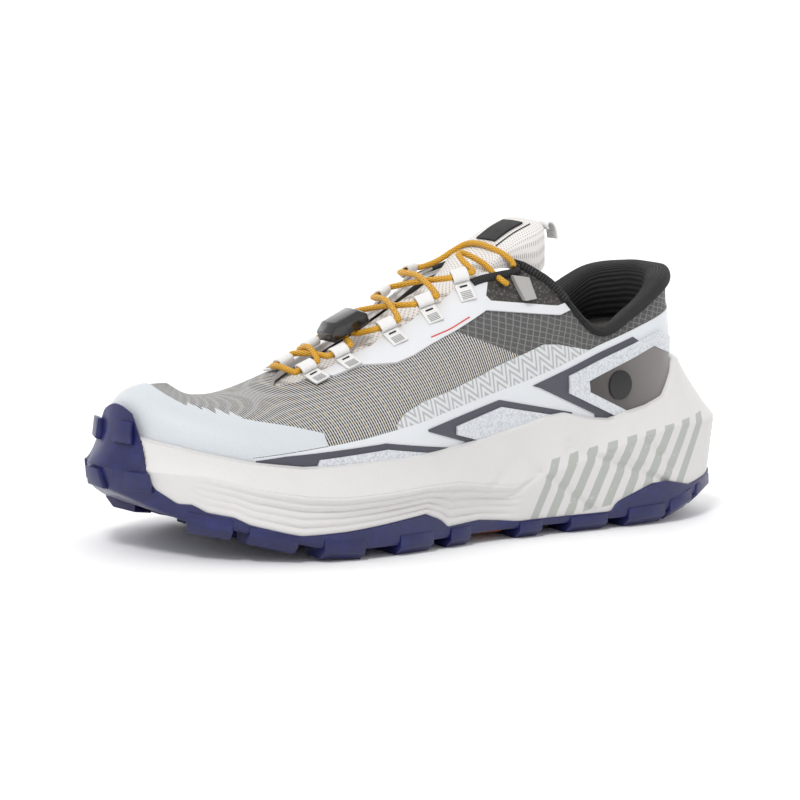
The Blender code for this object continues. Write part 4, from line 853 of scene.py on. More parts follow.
# Teeth of the toe cap's torn edge
TEETH = ((0.907, 0.550), (0.891, 0.538), (0.878, 0.527), (0.862, 0.522), (0.848, 0.512))
OUTLINES = {
    "toe_cap": (
        (1.02, 0.25), (1.02, 0.75), (0.928, 0.75), (0.919, 0.588),
        *(corner for along, up in TEETH
          for corner in ((along + 0.006, up + 0.018), (along - 0.003, up - 0.002))),
        (0.829, 0.502), (0.789, 0.486), (0.750, 0.463), (0.734, 0.432), (0.851, 0.387),
        (0.853, 0.25),
    ),
    "cage": (*CAGE_TOP, (-0.03, 0.25), (0.851, 0.25)),
    "chevron": (*CHEVRON_TOP, *CAGE_TOP[4:9]),
    "ankle_panel": (
        (0.300, 0.912), (0.339, 0.890), (0.444, 0.912), (0.448, 0.930), (0.427, 1.020),
        (0.420, 1.200), (0.280, 1.200),
    ),
    "eyestay": (
        (0.750, 0.596), (0.722, 0.620), (0.700, 0.640), (0.685, 0.638), (0.645, 0.678),
        (0.606, 0.692), (0.580, 0.718), (0.551, 0.755), (0.508, 0.806), (0.455, 0.879),
        (0.336, 0.855), (0.300, 0.882), (0.300, 0.912), (0.339, 0.890), (0.444, 0.912),
        (0.448, 0.930), (0.427, 1.020), (0.420, 1.300), (0.752, 1.300),
    ),
    "band_fore": (
        (0.849, 0.376), (0.813, 0.392), (0.680, 0.423), (0.670, 0.426), (0.558, 0.388),
        (0.558, 0.300), (0.597, 0.300), (0.597, 0.378), (0.668, 0.403), (0.769, 0.378),
        (0.780, 0.300), (0.849, 0.300),
    ),
    "pod_fore": ((0.769, 0.378), (0.668, 0.403), (0.597, 0.378), (0.597, 0.300), (0.780, 0.300)),
    "band_mid": (
        (0.602, 0.461), (0.460, 0.548), (0.321, 0.475), (0.321, 0.400), (0.352, 0.400),
        (0.355, 0.470), (0.458, 0.521), (0.545, 0.465), (0.545, 0.433), (0.505, 0.405),
        (0.505, 0.300), (0.524, 0.300), (0.524, 0.400),
    ),
    "pod_mid": (
        (0.458, 0.521), (0.355, 0.470), (0.352, 0.300), (0.505, 0.300), (0.505, 0.405),
        (0.545, 0.433), (0.545, 0.465),
    ),
    "band_rear": (
        (0.397, 0.592), (0.204, 0.757), (0.193, 0.740), (0.331, 0.621), (0.330, 0.552),
        (0.236, 0.444), (0.236, 0.350), (0.262, 0.350), (0.278, 0.461), (0.384, 0.582),
    ),
    "pod_rear": (
        (0.330, 0.552), (0.331, 0.621), (0.193, 0.740), (0.150, 0.775), (0.122, 0.745),
        (0.128, 0.680), (0.152, 0.702), (0.165, 0.716), (0.294, 0.595), (0.292, 0.552),
        (0.207, 0.453), (0.207, 0.350), (0.236, 0.350), (0.236, 0.444),
    ),
    "badge": (
        (0.294, 0.595), (0.165, 0.716), (0.152, 0.702), (0.128, 0.680), (0.128, 0.400),
        (0.207, 0.400), (0.207, 0.453), (0.292, 0.552),
    ),
    "disc": tuple((0.236 + 0.0211 * math.cos(turn), 0.572 + 0.0591 * math.sin(turn))
                  for turn in np.linspace(0, math.tau, 33)[:-1]),
}
SIDES = {"lateral": 1, "medial": -1}
# Lowest and highest layer of each overlay, in millimetres off the skin
LAYERS = {
    "toe_cap": (0.02, 0.7), "cage": (0.02, 0.55), "chevron": (0.02, 0.5), "ankle_panel": (0.02, 0.7),
    "eyestay": (0.02, 0.9), "band": (0.5, 0.95), "pod": (0.5, 1.9), "badge": (0.5, 1.6), "disc": (1.6, 2.3),
}


# How far below the collar's edge the films end, by station, in millimetres
LIP_DROP = ((1.6, 5.4), (2.6, 4.0), (4.8, 3.6), (FILM_END, 0.8))
PITCH = 1.1             # mesh size of the films
WALL_HEIGHT = 62        # height of the skin that a film's rows are counted for


def film_top(v):
    """Upper limit of the films: the collar's lip, or the throat's edge."""
    v = np.asarray(v, float)
    edge = top_edge(v)
    drop = blend(LIP_DROP, station(v))
    return np.where(station(v) < FILM_END, drop_place(v, edge, drop), edge)


def side_reach(corners, sign):
    """Part of the ring that an outline covers on one side."""
    v = np.linspace(0.02, TOE - 0.02, 500)
    s = np.stack([curve_point(v, t)[:, 0] for t in (0.0, 0.35, 0.7, 1.0)], 1) / LENGTH
    low = min(corner[0] for corner in corners) - 0.01
    high = max(corner[0] for corner in corners) + 0.01
    covered = v[(s.max(1) > low) & (s.min(1) < high)]
    ends = (covered[0], covered[-1])
    return ends if sign > 0 else (TURN - ends[1], TURN - ends[0])


def patch(name, v_range, low_lift, pitch, top):
    """Part of the skin between the sole's rim and the films' upper limit."""
    places = np.linspace(*v_range, 200)
    bottom = at_height(places, rim_height(places) - 1.0)
    limit = top(places)
    foot = curve_point(places, 0.3)
    width = np.linalg.norm(np.diff(foot, axis=0), axis=1).sum()
    columns = max(12, int(width / pitch))
    rows = max(20, int(WALL_HEIGHT / pitch))

    def place(across, up):
        v = v_range[0] + (v_range[1] - v_range[0]) * across
        t = np.interp(v, places, bottom) * (1 - up) + np.interp(v, places, limit) * up
        return skin(v, t, low_lift)

    return shaped_grid(name, columns, rows, place)


def layer(name, shape, v_range, look, slot, pitch=PITCH, rounding=0.0, top=film_top):
    """Film or moulded plate on the skin, cut to its outline and given its thickness."""
    low, high = LAYERS[shape if shape in LAYERS else shape.split("_")[0]]
    piece = patch(name, v_range, low, pitch, top)
    face_out(piece, sum(v_range) / 2, 0.5)
    trim_to(piece, list(OUTLINES[shape]))
    with editing(piece):
        bpy.ops.mesh.remove_doubles(threshold=0.04 * MM)
        bpy.ops.mesh.dissolve_degenerate(threshold=0.01 * MM)
    thicken(piece, high - low, 1.0)
    if rounding:
        bevel(piece, rounding, 2, 55)
    smooth(piece, 38)
    return finish(piece, LOOKS[look], slot, name)


# Pieces made once for each side: outline, look, slot, mesh size, rounded edge
SIDE_LAYERS = (
    ("chevron", "chevron", "film_grey", PITCH, 0.0),
    ("ankle_panel", "crinkle", "ripstop_grey", PITCH, 0.0),
    ("band_fore", "dark", "film_dark", PITCH, 0.0), ("pod_fore", "pod", "pod_silver", 1.0, 0.3),
    ("band_mid", "dark", "film_dark", PITCH, 0.0), ("pod_mid", "pod", "pod_silver", 1.0, 0.3),
    ("band_rear", "dark", "film_dark", PITCH, 0.0), ("pod_rear", "pod", "pod_silver", 1.0, 0.3),
    ("badge", "badge", "plate_grey", 1.0, 0.3), ("disc", "disc", "disc_black", 0.8, 0.2),
)


def make_overlays():
    layer("toe_cap", "toe_cap", (9.7, TURN - 9.7), "cap", "film_grey", 1.2)
    layer("cage", "cage", (-12.9, 12.9), "cage", "film_white", 1.4)
    layer("eyestay", "eyestay", (3.6, TURN - 3.6), "white", "film_white", 0.9, top=eyestay_top)
    for side, sign in SIDES.items():
        for shape, look, slot, pitch, rounding in SIDE_LAYERS:
            layer(shape + "_" + side, shape, side_reach(OUTLINES[shape], sign), look, slot, pitch,
                  rounding)


# Sole

def ring_body(name, rows, columns):
    """Closed body from rows of points round the shoe; both ends close on the middle line."""
    places = np.linspace(0, TURN, columns + 1)
    stack = [row(places) for row in rows]
    ends = [(stack[0] + stack[0][::-1]) / 2, (stack[-1] + stack[-1][::-1]) / 2]
    stack = np.stack([ends[0], *stack, ends[1]])

    def place(across, up):
        column = np.round(across * columns).astype(int)
        number = np.round(up * (len(stack) - 1)).astype(int)
        return stack[number, column]

    piece = shaped_grid(name, columns, len(stack) - 1, place)
    weld(piece, 0.01)
    return piece


def segment_distance(s, z, start, end):
    """Distance of points from a line's stretch, seen from the side."""
    along = np.array(end, float) - start
    place = np.clip(((s - start[0]) * along[0] + (z - start[1]) * along[1]) / (along @ along), 0, 1)
    return np.hypot(s - start[0] - along[0] * place, z - start[1] - along[1] * place)


# Grooves on the side of the heel: ends along and up, depth, half width
GROOVES = (
    ((131, 35), (88, 9), 0.9, 1.6), ((104, 38), (46, 19), 1.1, 1.5), ((92, 39), (60, 26), 0.6, 1.0),
    ((131, 35), (150, 24), 0.7, 1.5), ((118, 29), (138, 19), 0.7, 1.2), ((66, 43), (50, 31), 0.8, 1.2),
    ((50, 31), (42, 24), 0.6, 1.2),
)


RIBS = 5                # ribs between the forefoot's crest and the rubber, 1 mm deep
STEP_IN = 1.7           # how far the foam steps in behind the rubber


def foam_relief(v, z):
    """Ribs of the forefoot and grooves of the heel, in millimetres out of the side."""
    edge = outline(v)
    s = edge[..., 0]
    crest = level(CREST_LINE, s)
    low = np.maximum(rubber_height(v), 6)
    share = np.clip((crest - z) / np.maximum(crest - low, 1.0), 0, 1)
    waves = np.abs(np.sin(math.pi * share * RIBS)) ** 0.6 * (share > 0.02)
    relief = waves * blend(RIB_LINE, s / LENGTH)
    for start, end, depth, width in GROOVES:
        relief = relief - depth * np.exp(-(segment_distance(s, z, start, end) / width) ** 2)
    heel = np.clip(1 - s / 20, 0, 1) * ((z > 34) & (z < 56))
    return relief + heel * 0.3 * np.sin(z * math.tau / 3.2)


def foam_out(v, z):
    """The side's relief; where the rubber covers the foam, the foam steps in behind it."""
    covered = np.clip(rubber_height(v) - 0.8 - z, 0, 1)
    return foam_relief(v, z) * (1 - covered) - STEP_IN * covered


def side_z(v, share):
    """Height on the side: 1 at the rim, 0 at the crest, -1 under the rubber's edge."""
    crest = level(CREST_LINE, outline(v)[..., 0])
    rim = rim_height(v)
    low = np.minimum(rubber_height(v) - 1.5, crest - 3)
    return crest + (rim - crest) * share if share > 0 else crest + (crest - low) * share


# The rim's rounding: height over the rim, distance from the skin
RIM_ROUND = ((0.15, 0.7), (0.25, 1.6), (0.0, 2.9))
SIDE_SHARES = (0.9, 0.8, 0.65, 0.5, 0.35, 0.22, 0.12, 0.05, 0.0001, *-np.linspace(0.015, 1.0, 46))


def make_midsole():
    """Foam from the footbed's edge up the inside of the cup, over its rim and down the side."""
    def cup(share):
        def row(v):
            height = rim_height(v) * share + curve_point(v, -1.0)[..., 2] * (1 - share)
            return skin(v, at_height(v, height), SEAT_CLEAR - 0.5)
        return row

    def rim(height, lift):
        return lambda v: skin(v, at_height(v, rim_height(v) + height), lift)

    def side(share):
        return lambda v: flank(v, side_z(v, share), foam_out(v, side_z(v, share)))

    rows = [lambda v: curve_point(v, -1.0) - flat_out(v) * 3,
            lambda v: curve_point(v, -1.0) + flat_out(v) * SEAT_CLEAR]
    rows += [cup(share) for share in (0.3, 0.6, 0.85, 0.97)]
    rows += [rim(height, lift) for height, lift in RIM_ROUND]
    rows.append(lambda v: flank(v, rim_height(v) - 0.7, foam_out(v, rim_height(v) - 0.7)))
    rows += [side(share) for share in SIDE_SHARES]
    rows.append(lambda v: on_base(v, RUBBER + 0.4, -RUBBER - 1.0))
    piece = ring_body("midsole_foam", rows, FOAM_COLUMNS)
    smooth(piece, 50)
    return finish(piece, LOOKS["foam"], "foam_white", "midsole")


# Lugs: start and end of each row, as shares of the length
LUG_ROWS = (
    (0.035, 0.082), (0.095, 0.143), (0.153, 0.224), (0.263, 0.331), (0.383, 0.425),
    (0.516, 0.555), (0.588, 0.649), (0.708, 0.770), (0.805, 0.865), (0.883, 0.930),
)
LUG_REACH = 14.0        # how far an edge lug reaches under the sole
LUG_RISE = 4.5          # how far at most it climbs the side
CENTRE_LUG = (11.05, 6.5)   # middle and half width of a lug inside
LAST_CENTRE = 0.87      # the rows past this share have edge lugs alone
# Studs on the toe: station, height as a share of the sole's
TOE_STUDS = ((12.95, 0.62), (13.45, 0.98), (13.85, 0.60), (14.55, 0.96), (14.95, 0.60))


def side_place(s, sign):
    v = np.linspace(0.3, TOE - 0.1, 2000)
    place = float(np.interp(s, outline(v)[:, 0], v))
    return place if sign > 0 else TURN - place


def block(name, low, high):
    """Block between two outlines with as many corners, its edges rounded."""
    count = len(low)
    bpy.ops.object.select_all(action="DESELECT")
    bpy.ops.mesh.primitive_cylinder_add(vertices=count, radius=1, depth=2, end_fill_type="NGON")
    piece = bpy.context.object
    piece.name = name
    flat = np.array([corner.co for corner in piece.data.vertices])
    turn = np.round(np.degrees(np.arctan2(flat[:, 0], flat[:, 1])) % 360 / (360 / count)).astype(int) % count
    places = np.where((flat[:, 2] > 0)[:, None], np.array(high)[turn], np.array(low)[turn])
    piece.data.vertices.foreach_set("co", to_scene(places).ravel())
    weld(piece, 0.001)
    bevel(piece, 0.5, 2, 35)
    return piece


def edge_lug(start, end, sign):
    """Lug at the edge of the sole: chamfered below, climbing the side."""
    places = [side_place((start + (end - start) * step / 4) * LENGTH, sign) for step in range(5)]
    heights = [float(rubber_height(np.array(v)) - base_height(outline(np.array(v))[0])) for v in places]
    rise = min(min(heights) - 0.3, LUG_RISE)
    profile = ((-LUG_REACH, 0.0), (-2.5, 0.0), (1.5, LUG * 0.8), (1.1, LUG + rise), (-1.25, LUG + 1.0),
               (-LUG_REACH, LUG + 1.0))
    rows = []
    for place in (places[0], places[-1]):
        v = np.array(place)
        edge = outline(v)
        side = flank(v, base_height(edge[0]) + 2.0, RUBBER_STAND)
        row = []
        for out, height in profile:
            corner = side + flat_out(v) * (out - 0.5)
            row.append((corner[0], corner[1], float(level(GROUND_LINE, corner[0])) + height))
        rows.append(row)
    return block("edge_lug", *rows)


def centre_lug(start, end, sign):
    """Arrow-shaped lug that points to the toe."""
    middle, half = CENTRE_LUG[0] * sign, CENTRE_LUG[1]
    long = (end - start) * LENGTH
    s = start * LENGTH
    shape = ((s, middle - half), (s + long * 0.75, middle - half), (s + long, middle),
             (s + long * 0.75, middle + half), (s, middle + half))
    low = [(x, y, float(level(GROUND_LINE, x))) for x, y in shape]
    high = [(x, y, float(level(GROUND_LINE, x)) + LUG + 1.2) for x, y in shape]
    return block("centre_lug", low, high)


def toe_stud(place, height):
    low = height * SOLE - 4.0
    inner, outer = [], []
    for v, z in ((place - 0.25, low), (place + 0.25, low), (place + 0.18, low + 8), (place - 0.18, low + 8)):
        inner.append(flank(np.array(v), z, RUBBER_STAND - 1.0))
        outer.append(flank(np.array(v), z + 0.5, RUBBER_STAND + 2.2))
    return block("toe_stud", inner, outer)


def make_outsole():
    """Rubber shell up the side of the foam, with its lugs and the studs of the toe."""
    def side(share, low, high, out):
        def row(v):
            base = base_height(outline(v)[..., 0])
            return flank(v, base + low + (rubber_height(v) - high - base - low) * share, out)
        return row

    def under(height, out):
        return lambda v: on_base(v, height, out)

    rows = [under(RUBBER, -RUBBER - 3), under(RUBBER, -RUBBER)]
    rows += [side(share, RUBBER, 0.4, -0.6) for share in (0.15, 0.4, 0.7, 0.97)]
    rows.append(lambda v: flank(v, rubber_height(v), 0.1))
    rows.append(lambda v: flank(v, rubber_height(v), 0.5))
    rows += [side(share, 1.6, 0.3, RUBBER_STAND) for share in (1.0, 0.85, 0.7, 0.55, 0.4, 0.25, 0.1, 0.0)]
    rows += [under(0.8, RUBBER_STAND - 0.2), under(0.25, RUBBER_STAND - 0.7),
             under(0.0, RUBBER_STAND - 1.6), under(0.0, -8.0)]
    piece = ring_body("outsole_rubber", rows, RUBBER_COLUMNS)
    lugs = []
    for start, end in LUG_ROWS:
        for sign in SIDES.values():
            lugs.append(edge_lug(start, end, sign))
            if end < LAST_CENTRE:
                lugs.append(centre_lug(start, end, sign))
    lugs += [toe_stud(v, height) for v, height in TOE_STUDS]
    join([piece, *lugs], "outsole_rubber")
    smooth(piece, 35)
    return finish(piece, LOOKS["rubber"], "rubber_blue", "outsole")


# Lace loops from the toe end up: stations, and sizes in millimetres
LOOPS = (9.05, 8.50, 7.71, 7.06, 6.42)
SCALLOP = 6.5           # radius of the eyestay's scoops between the loops
WEBBING = 0.9
LOOP_WIDTH = 7.0
LOOP_TAIL = 9.0
FILM_LIFT = 1.2         # height of the webbing's underside over the skin
LOOP_REACH = 2.9        # half width of a loop's turn
LOOP_RISE = 1.75        # half height of a loop's turn
TACK = (3.4, 0.8, 0.5)
STITCH = (4.8, 0.34, 0.3)


def eyestay_top(v):
    """Upper limit of the eyestay: past the mesh's edge at the loops, scooped between them."""
    v = np.asarray(v, float)
    edge = top_edge(v)
    reach = np.full(v.shape, 2.0)
    place = curve_point(v, edge)[..., 0]
    for before, after in zip(LOOPS, LOOPS[1:]):
        for middle in ((before + after) / 2, TURN - (before + after) / 2):
            centre = curve_point(middle, edge_at(middle))[0]
            near = np.abs(v - middle) < 1.2
            bite = SCALLOP - 0.5 - np.sqrt(np.clip(SCALLOP ** 2 - (place - centre) ** 2, 0, None))
            reach = np.where(near, np.minimum(reach, bite), reach)
    inner = np.where(edge < 1.0, np.minimum(1.0, edge + reach / BALL), edge)
    rear = np.minimum(inner, np.where(station(v) < THROAT_START, film_top(v), 1.0))
    return np.where(station(v) < FILM_END, rear, inner)


def refine(grid, rows, columns):
    """Smooth surface through a coarse grid of points."""
    def along(points, count):
        last = len(points) - 1
        place = np.linspace(0, last, count)
        first = np.minimum(place.astype(int), last - 1)
        part = (place - first).reshape(-1, *[1] * (points.ndim - 1))
        knots = (points[np.clip(first + step, 0, last)] for step in (-1, 0, 1, 2))
        return between_knots(*knots, part)

    fine = along(np.asarray(grid), rows)
    return along(fine.swapaxes(0, 1), columns).swapaxes(0, 1)


def path_length(path):
    return np.linalg.norm(np.diff(path, axis=0), axis=1).sum()


def from_points(name, points, lengths=None):
    """Mesh of a grid of points; its map holds millimetres along and across."""
    rows, columns = points.shape[:2]
    size = lengths or (path_length(points[:, columns // 2]), path_length(points[rows // 2]))

    def place(across, up):
        row = np.round(up * (rows - 1)).astype(int)
        return points[row, np.round(across * (columns - 1)).astype(int)]

    def texture(across, up):
        return np.stack([up * size[0], across * size[1]], 1)

    return shaped_grid(name, columns - 1, rows - 1, place, texture)


# Tongue: station along the throat, then steps back and up past it; half width, crown and flank
TONGUE_ROWS = (
    (9.70, 0.000, 0.000, 0.070, 0.005, 0.00), (9.20, 0.000, 0.000, 0.130, 0.008, 0.00),
    (8.40, 0.000, 0.000, 0.170, 0.010, 0.00), (7.60, 0.000, 0.000, 0.190, 0.012, 0.00),
    (6.80, 0.000, 0.000, 0.190, 0.015, 0.00), (6.15, 0.000, 0.000, 0.140, 0.020, 0.00),
    (6.15, 0.085, 0.082, 0.140, 0.025, 0.02), (6.15, 0.160, 0.136, 0.150, 0.030, 0.06),
    (6.15, 0.225, 0.176, 0.158, 0.035, 0.11), (6.15, 0.291, 0.205, 0.160, 0.035, 0.15),
    (6.15, 0.335, 0.221, 0.150, 0.030, 0.14),
)
TONGUE_GRID = (110, 56)     # rows and columns of the tongue's mesh
UNDER = -(WALL + 1.2)       # the tongue's sides lie under the wall
# Pull loop: millimetres forward and up from the tongue's end
PULL_PATH = ((1.3, -3.5), (1.3, -1.5), (2.8, -0.8), (4.6, -2.2), (5.2, -5.5), (4.4, -9.5))
SLOPE = math.radians(24.0)
FORWARD = np.array([-math.cos(SLOPE), 0.0, math.sin(SLOPE)])
UPWARD = np.array([math.sin(SLOPE), 0.0, math.cos(SLOPE)])
SIDEWAYS = np.array([0.0, 1.0, 0.0])


def tongue_point(place, across, half, crown):
    """Point of the tongue in the throat: under the wall, or on the arch between its edges."""
    side = place if across >= 0 else TURN - place
    edge = edge_at(side)
    rim = abs(spot(side, edge)[1])
    wanted = abs(across) * half * BALL
    if wanted > rim:
        t = find(lambda part: np.abs(curve_point(side, part)[..., 1]) < wanted,
                 np.array(0.2), np.array(edge))
        return spot(side, t, UNDER)
    left = spot(place, edge_at(place), UNDER)
    right = spot(TURN - place, edge_at(TURN - place), UNDER)
    share = wanted / max(rim, 0.1)
    point = right + (left - right) * (math.copysign(share, across) + 1) / 2
    return point + np.array([0, 0, crown * BALL * (1 - share ** 2)])


def tongue_grid():
    """Rows of the tongue's top: in the throat, then bent over past it."""
    grid = []
    for place, back, up, half, crown, flank in TONGUE_ROWS:
        row = []
        for across in np.linspace(-1, 1, 9):
            if back == 0:
                row.append(tongue_point(place, across, half, crown))
                continue
            fall = crown * across ** 2 + flank * across ** 6
            step = np.array([-back, half * math.sin(across * math.pi / 2), up - fall])
            row.append(tongue_point(place, 0, half, 0.02) + step * BALL)
        grid.append(row)
    return np.array(grid)


def make_tongue():
    """Padded tongue with its label and the pull loop at its end."""
    grid = tongue_grid()
    piece = from_points("tongue_pad", refine(grid, *TONGUE_GRID))
    turn_up(piece)
    thicken(piece, 3.3, -1.0)
    bevel(piece, 1.2, 3, 50)
    smooth(piece, 60)
    finish(piece, LOOKS["tongue"], "tongue_white", "tongue")
    label = from_points("tongue_patch", refine(grid[7:10, 3:6], 24, 24) + np.array([0.0, 0, 0.25]))
    turn_up(label)
    thicken(label, 0.8, 1.0)
    bevel(label, 0.25, 2, 50)
    smooth(label, 45)
    finish(label, LOOKS["label"], "knit_black", "tongue_label")
    pull = strap("pull_loop", PULL_PATH, (grid[-1][6], FORWARD, UPWARD, SIDEWAYS))
    finish(pull, LOOKS["webbing"], "tongue_white", "tongue_pull")


# Collar: a padded roll that folds over the edge, thick inside

def around_collar(v, lift, drop):
    """Points a lift off the skin, and a drop below the wall's edge or above it."""
    down = skin(v, drop_place(v, np.ones(v.shape), np.maximum(drop, 0.01)), lift)
    above = skin(v, np.ones(v.shape), lift)
    up = unit(curve_point(v, 1.0) - curve_point(v, 0.93))
    return np.where((drop >= 0)[..., None], down, above - up * drop[..., None])


COLLAR_END = 5.19       # station where the padded roll ends
COLLAR_MAP = (62.0, 330.0)      # way round the roll, and along it, in millimetres


def make_collar():
    """Roll from the outer lip over the edge and down the lining, closed under itself."""
    places = np.concatenate([np.linspace(TURN - COLLAR_END, TURN, 130)[:-1],
                             np.linspace(0, COLLAR_END, 130)])
    where = station(places)
    fade = blend(((3.4, 1.0), (5.2, 0.15)), where)
    lip = blend(((0.0, 10.6), (1.4, 4.6), (2.6, 3.2), (4.0, 3.0), (5.2, 2.4)), where)
    pad = 2.0 + 5.0 * fade
    depth = 6.0 + 18.0 * fade
    inner = -WALL - 0.7
    none = np.zeros(where.shape)
    profile = [
        (none + 0.7, lip), (none + 1.8, lip - 1.0), (none + 2.2, none + 1.2), (none + 1.2, none - 1.2),
        (none - 1.5, none - 1.9), (-WALL - pad * 0.7, none - 0.5), (-WALL - pad, none + 3.5),
        (-WALL - pad * 0.9, depth * 0.55), (none + inner - 0.8, depth), (none + inner, depth * 0.5),
        (none + inner, none - 0.6), (none + 0.7, none - 0.6),
    ]
    knots = np.array([[lift, drop] for lift, drop in profile])
    closed = np.concatenate([knots[-1:], knots, knots[:2]])
    loop = [between_knots(*closed[number:number + 4], step / 4)
            for number in range(len(knots)) for step in range(4)]
    rings = np.array([around_collar(places, lift, drop) for lift, drop in [*loop, loop[0]]])
    piece = from_points("collar_roll", rings, COLLAR_MAP)
    weld(piece, 0.01)
    close_ends(piece)
    smooth(piece, 60)
    finish(piece, LOOKS["collar"], "knit_black", "collar")


def make_bindings():
    """Thin knitted binding along the ankle's edge, from the roll to the top loop."""
    for side, sign in SIDES.items():
        places = np.linspace(4.6, 6.25, 24)
        places = places if sign > 0 else TURN - places
        path = np.array([spot(v, edge_at(v) - 0.02, 0.9) for v in places])
        finish(lace_tube("binding_" + side, path, 1.9), LOOKS["collar"], "knit_black")


# Lace loops and laces

def loop_frame(v):
    """A loop's place on the edge, with its ways inward, out of the shoe and along the throat."""
    edge = edge_at(v)
    origin = spot(v, edge, FILM_LIFT)
    back = spot(v, drop_place(np.array(float(v)), np.array(edge), LOOP_TAIL), FILM_LIFT)
    inward = unit(origin - back)
    ahead = spot(v + 0.2, edge_at(v + 0.2), FILM_LIFT) - spot(v - 0.2, edge_at(v - 0.2), FILM_LIFT)
    out = unit(np.cross(inward, ahead))
    out = -out if out[2] < 0 else out
    along = unit(np.cross(out, inward))
    along = -along if along[0] < 0 else along
    return origin + out * 0.25, inward, out, along


def loop_centre(number, side):
    """Middle of the bore that the lace runs through."""
    origin, inward, out, along = loop_frame(LOOPS[number] if side > 0 else TURN - LOOPS[number])
    return origin + inward * (LOOP_REACH + 0.4) + out * (LOOP_RISE + 0.45), along, out


def smooth_path(points, steps):
    points = np.asarray(points, float)
    path = refine(points[:, None, :].repeat(2, 1), (len(points) - 1) * steps + 1, 2)
    return path[:, 0]


def strap(name, path, frame_at):
    """Webbing along a path in the frame's plane, its edges rounded."""
    origin, inward, out, along = frame_at
    line = smooth_path([(x, y, 0.0) for x, y in path], 5)
    middle = origin + line[:, :1] * inward + line[:, 1:2] * out
    across = np.linspace(-0.5, 0.5, 7)[:, None] * LOOP_WIDTH * along
    piece = from_points(name, middle[:, None, :] + across[None])
    thicken(piece, WEBBING, 0.0)
    bevel(piece, 0.22, 2, 60)
    smooth(piece, 50)
    return piece


def make_loops():
    """Flat webbing loops, each with a black bar tack and a ladder of grey stitches."""
    flat = WEBBING / 2
    path = [(-LOOP_TAIL, flat - 0.25), (-5.0, flat - 0.2), (-1.0, flat)]
    path += [(LOOP_REACH * (1 + math.cos(turn)) + flat, LOOP_RISE * (1 + math.sin(turn)) + flat)
             for turn in np.radians(np.arange(-90, 215, 30))]
    tacks, ladders = [], []
    for side, sign in SIDES.items():
        for number, v in enumerate(LOOPS, 1):
            frame_at = loop_frame(v if sign > 0 else TURN - v)
            name = side + "_" + str(number)
            finish(strap("loop_" + name, path, frame_at), LOOKS["webbing"], "film_white",
                   "lace_loop_" + name)
            origin, inward, out, along = frame_at
            tacks.append(bar(origin - inward * 1.9 + out * 1.0, along, inward, out, TACK))
            for row in np.arange(-8.2, -4.0, 0.9):
                ladders.append(bar(origin + inward * row + out * 0.75, along, inward, out, STITCH))
    for pieces, name, look, slot in ((tacks, "loop_tacks", "black", "lock_black"),
                                     (ladders, "loop_stitches", "stitch", "film_white")):
        joined = join(pieces, name)
        smooth(joined, 40)
        finish(joined, LOOKS[look], slot)


def make_thread_lines():
    """Thin red line on the eyestay, and a dark seam beside the tongue's label."""
    red = [spot(v, t, 1.0) for v, t in zip(np.linspace(7.25, 6.5, 12), np.linspace(0.60, 0.55, 12))]
    finish(lace_tube("eyestay_line", np.array(red), 0.28, 8), LOOKS["red"], "film_white")
    seam = refine(tongue_grid(), *TONGUE_GRID)[74:101, 38] + np.array([0.0, 0.0, 0.1])
    finish(lace_tube("tongue_seam", seam, 0.35, 8), LOOKS["black"], "tongue_white")


def bar(centre, first, second, third, size):
    """Small sewn bar with rounded edges, along three axes."""
    bpy.ops.object.select_all(action="DESELECT")
    bpy.ops.mesh.primitive_cube_add(size=1)
    piece = bpy.context.object
    corners = np.array([point.co for point in piece.data.vertices])
    places = centre + sum(corners[:, axis:axis + 1] * size[axis] * way
                          for axis, way in enumerate((first, second, third)))
    piece.data.vertices.foreach_set("co", to_scene(places).ravel())
    weld(piece, 0.001)
    modify(piece, "BEVEL", width=min(size) * 0.3 * MM, segments=2, limit_method="NONE")
    return piece


def lace_tube(name, path, radius=LACE / 2, sides=14):
    """Round lace along a path, closed at both ends, with its map in millimetres."""
    way = unit(np.gradient(path, axis=0))
    across = [unit(np.cross(way[0], np.array([0.0, 0.0, 1.0])))]
    for here in way[1:]:
        across.append(unit(across[-1] - here * (across[-1] @ here)))
    across = np.array(across)
    up = np.cross(across, way)
    turns = np.linspace(0, math.tau, sides + 1)[:, None, None]
    rings = path + (across * np.cos(turns) + up * np.sin(turns)) * radius
    piece = from_points(name, rings.swapaxes(0, 1), (path_length(path), math.tau * radius))
    weld(piece, 0.002)
    close_ends(piece)
    smooth(piece, 60)
    return piece


LOCK = (20.0, 11.5, 7.5)    # the cord lock's length, width and height
LOCK_STAND = 4.5            # its middle, above the line through the loops
PATH_STEPS = 8              # steps between the knots of a lace


def lace_start(number, side, toward_toe):
    """Two points where the lace leaves a loop, toward the toe or the ankle."""
    centre, along, out = loop_centre(number, side)
    way = along if toward_toe else -along
    free = centre + way * (LOOP_WIDTH / 2 + 0.3)
    return free, free + way * 2.2 + out * 0.4


def lock_place():
    """The cord lock's middle and its axes, between the second and the third pair of loops."""
    ends = [sum(loop_centre(number, side)[0] for side in (1, -1)) / 2 for number in (1, 2)]
    along = unit(ends[0] - ends[1])
    up = unit(np.cross(along, SIDEWAYS))
    up = -up if up[2] < 0 else up
    return (ends[0] + ends[1]) / 2 + up * LOCK_STAND, along, up


def through(number, side, toward_toe):
    """Points of the lace through a loop: into its bore, and out at the other side."""
    before = lace_start(number, side, not toward_toe)
    after = lace_start(number, side, toward_toe)
    centre = loop_centre(number, side)[0]
    return [before[1], before[0], centre, after[0], after[1]]


OVER, PASS_UNDER = 3.1, 0.6     # height of the crossing laces' middles over their line


def between(first, second, lift):
    return [(np.array(first) + np.array(second)) / 2 + np.array([0, 0, lift])]


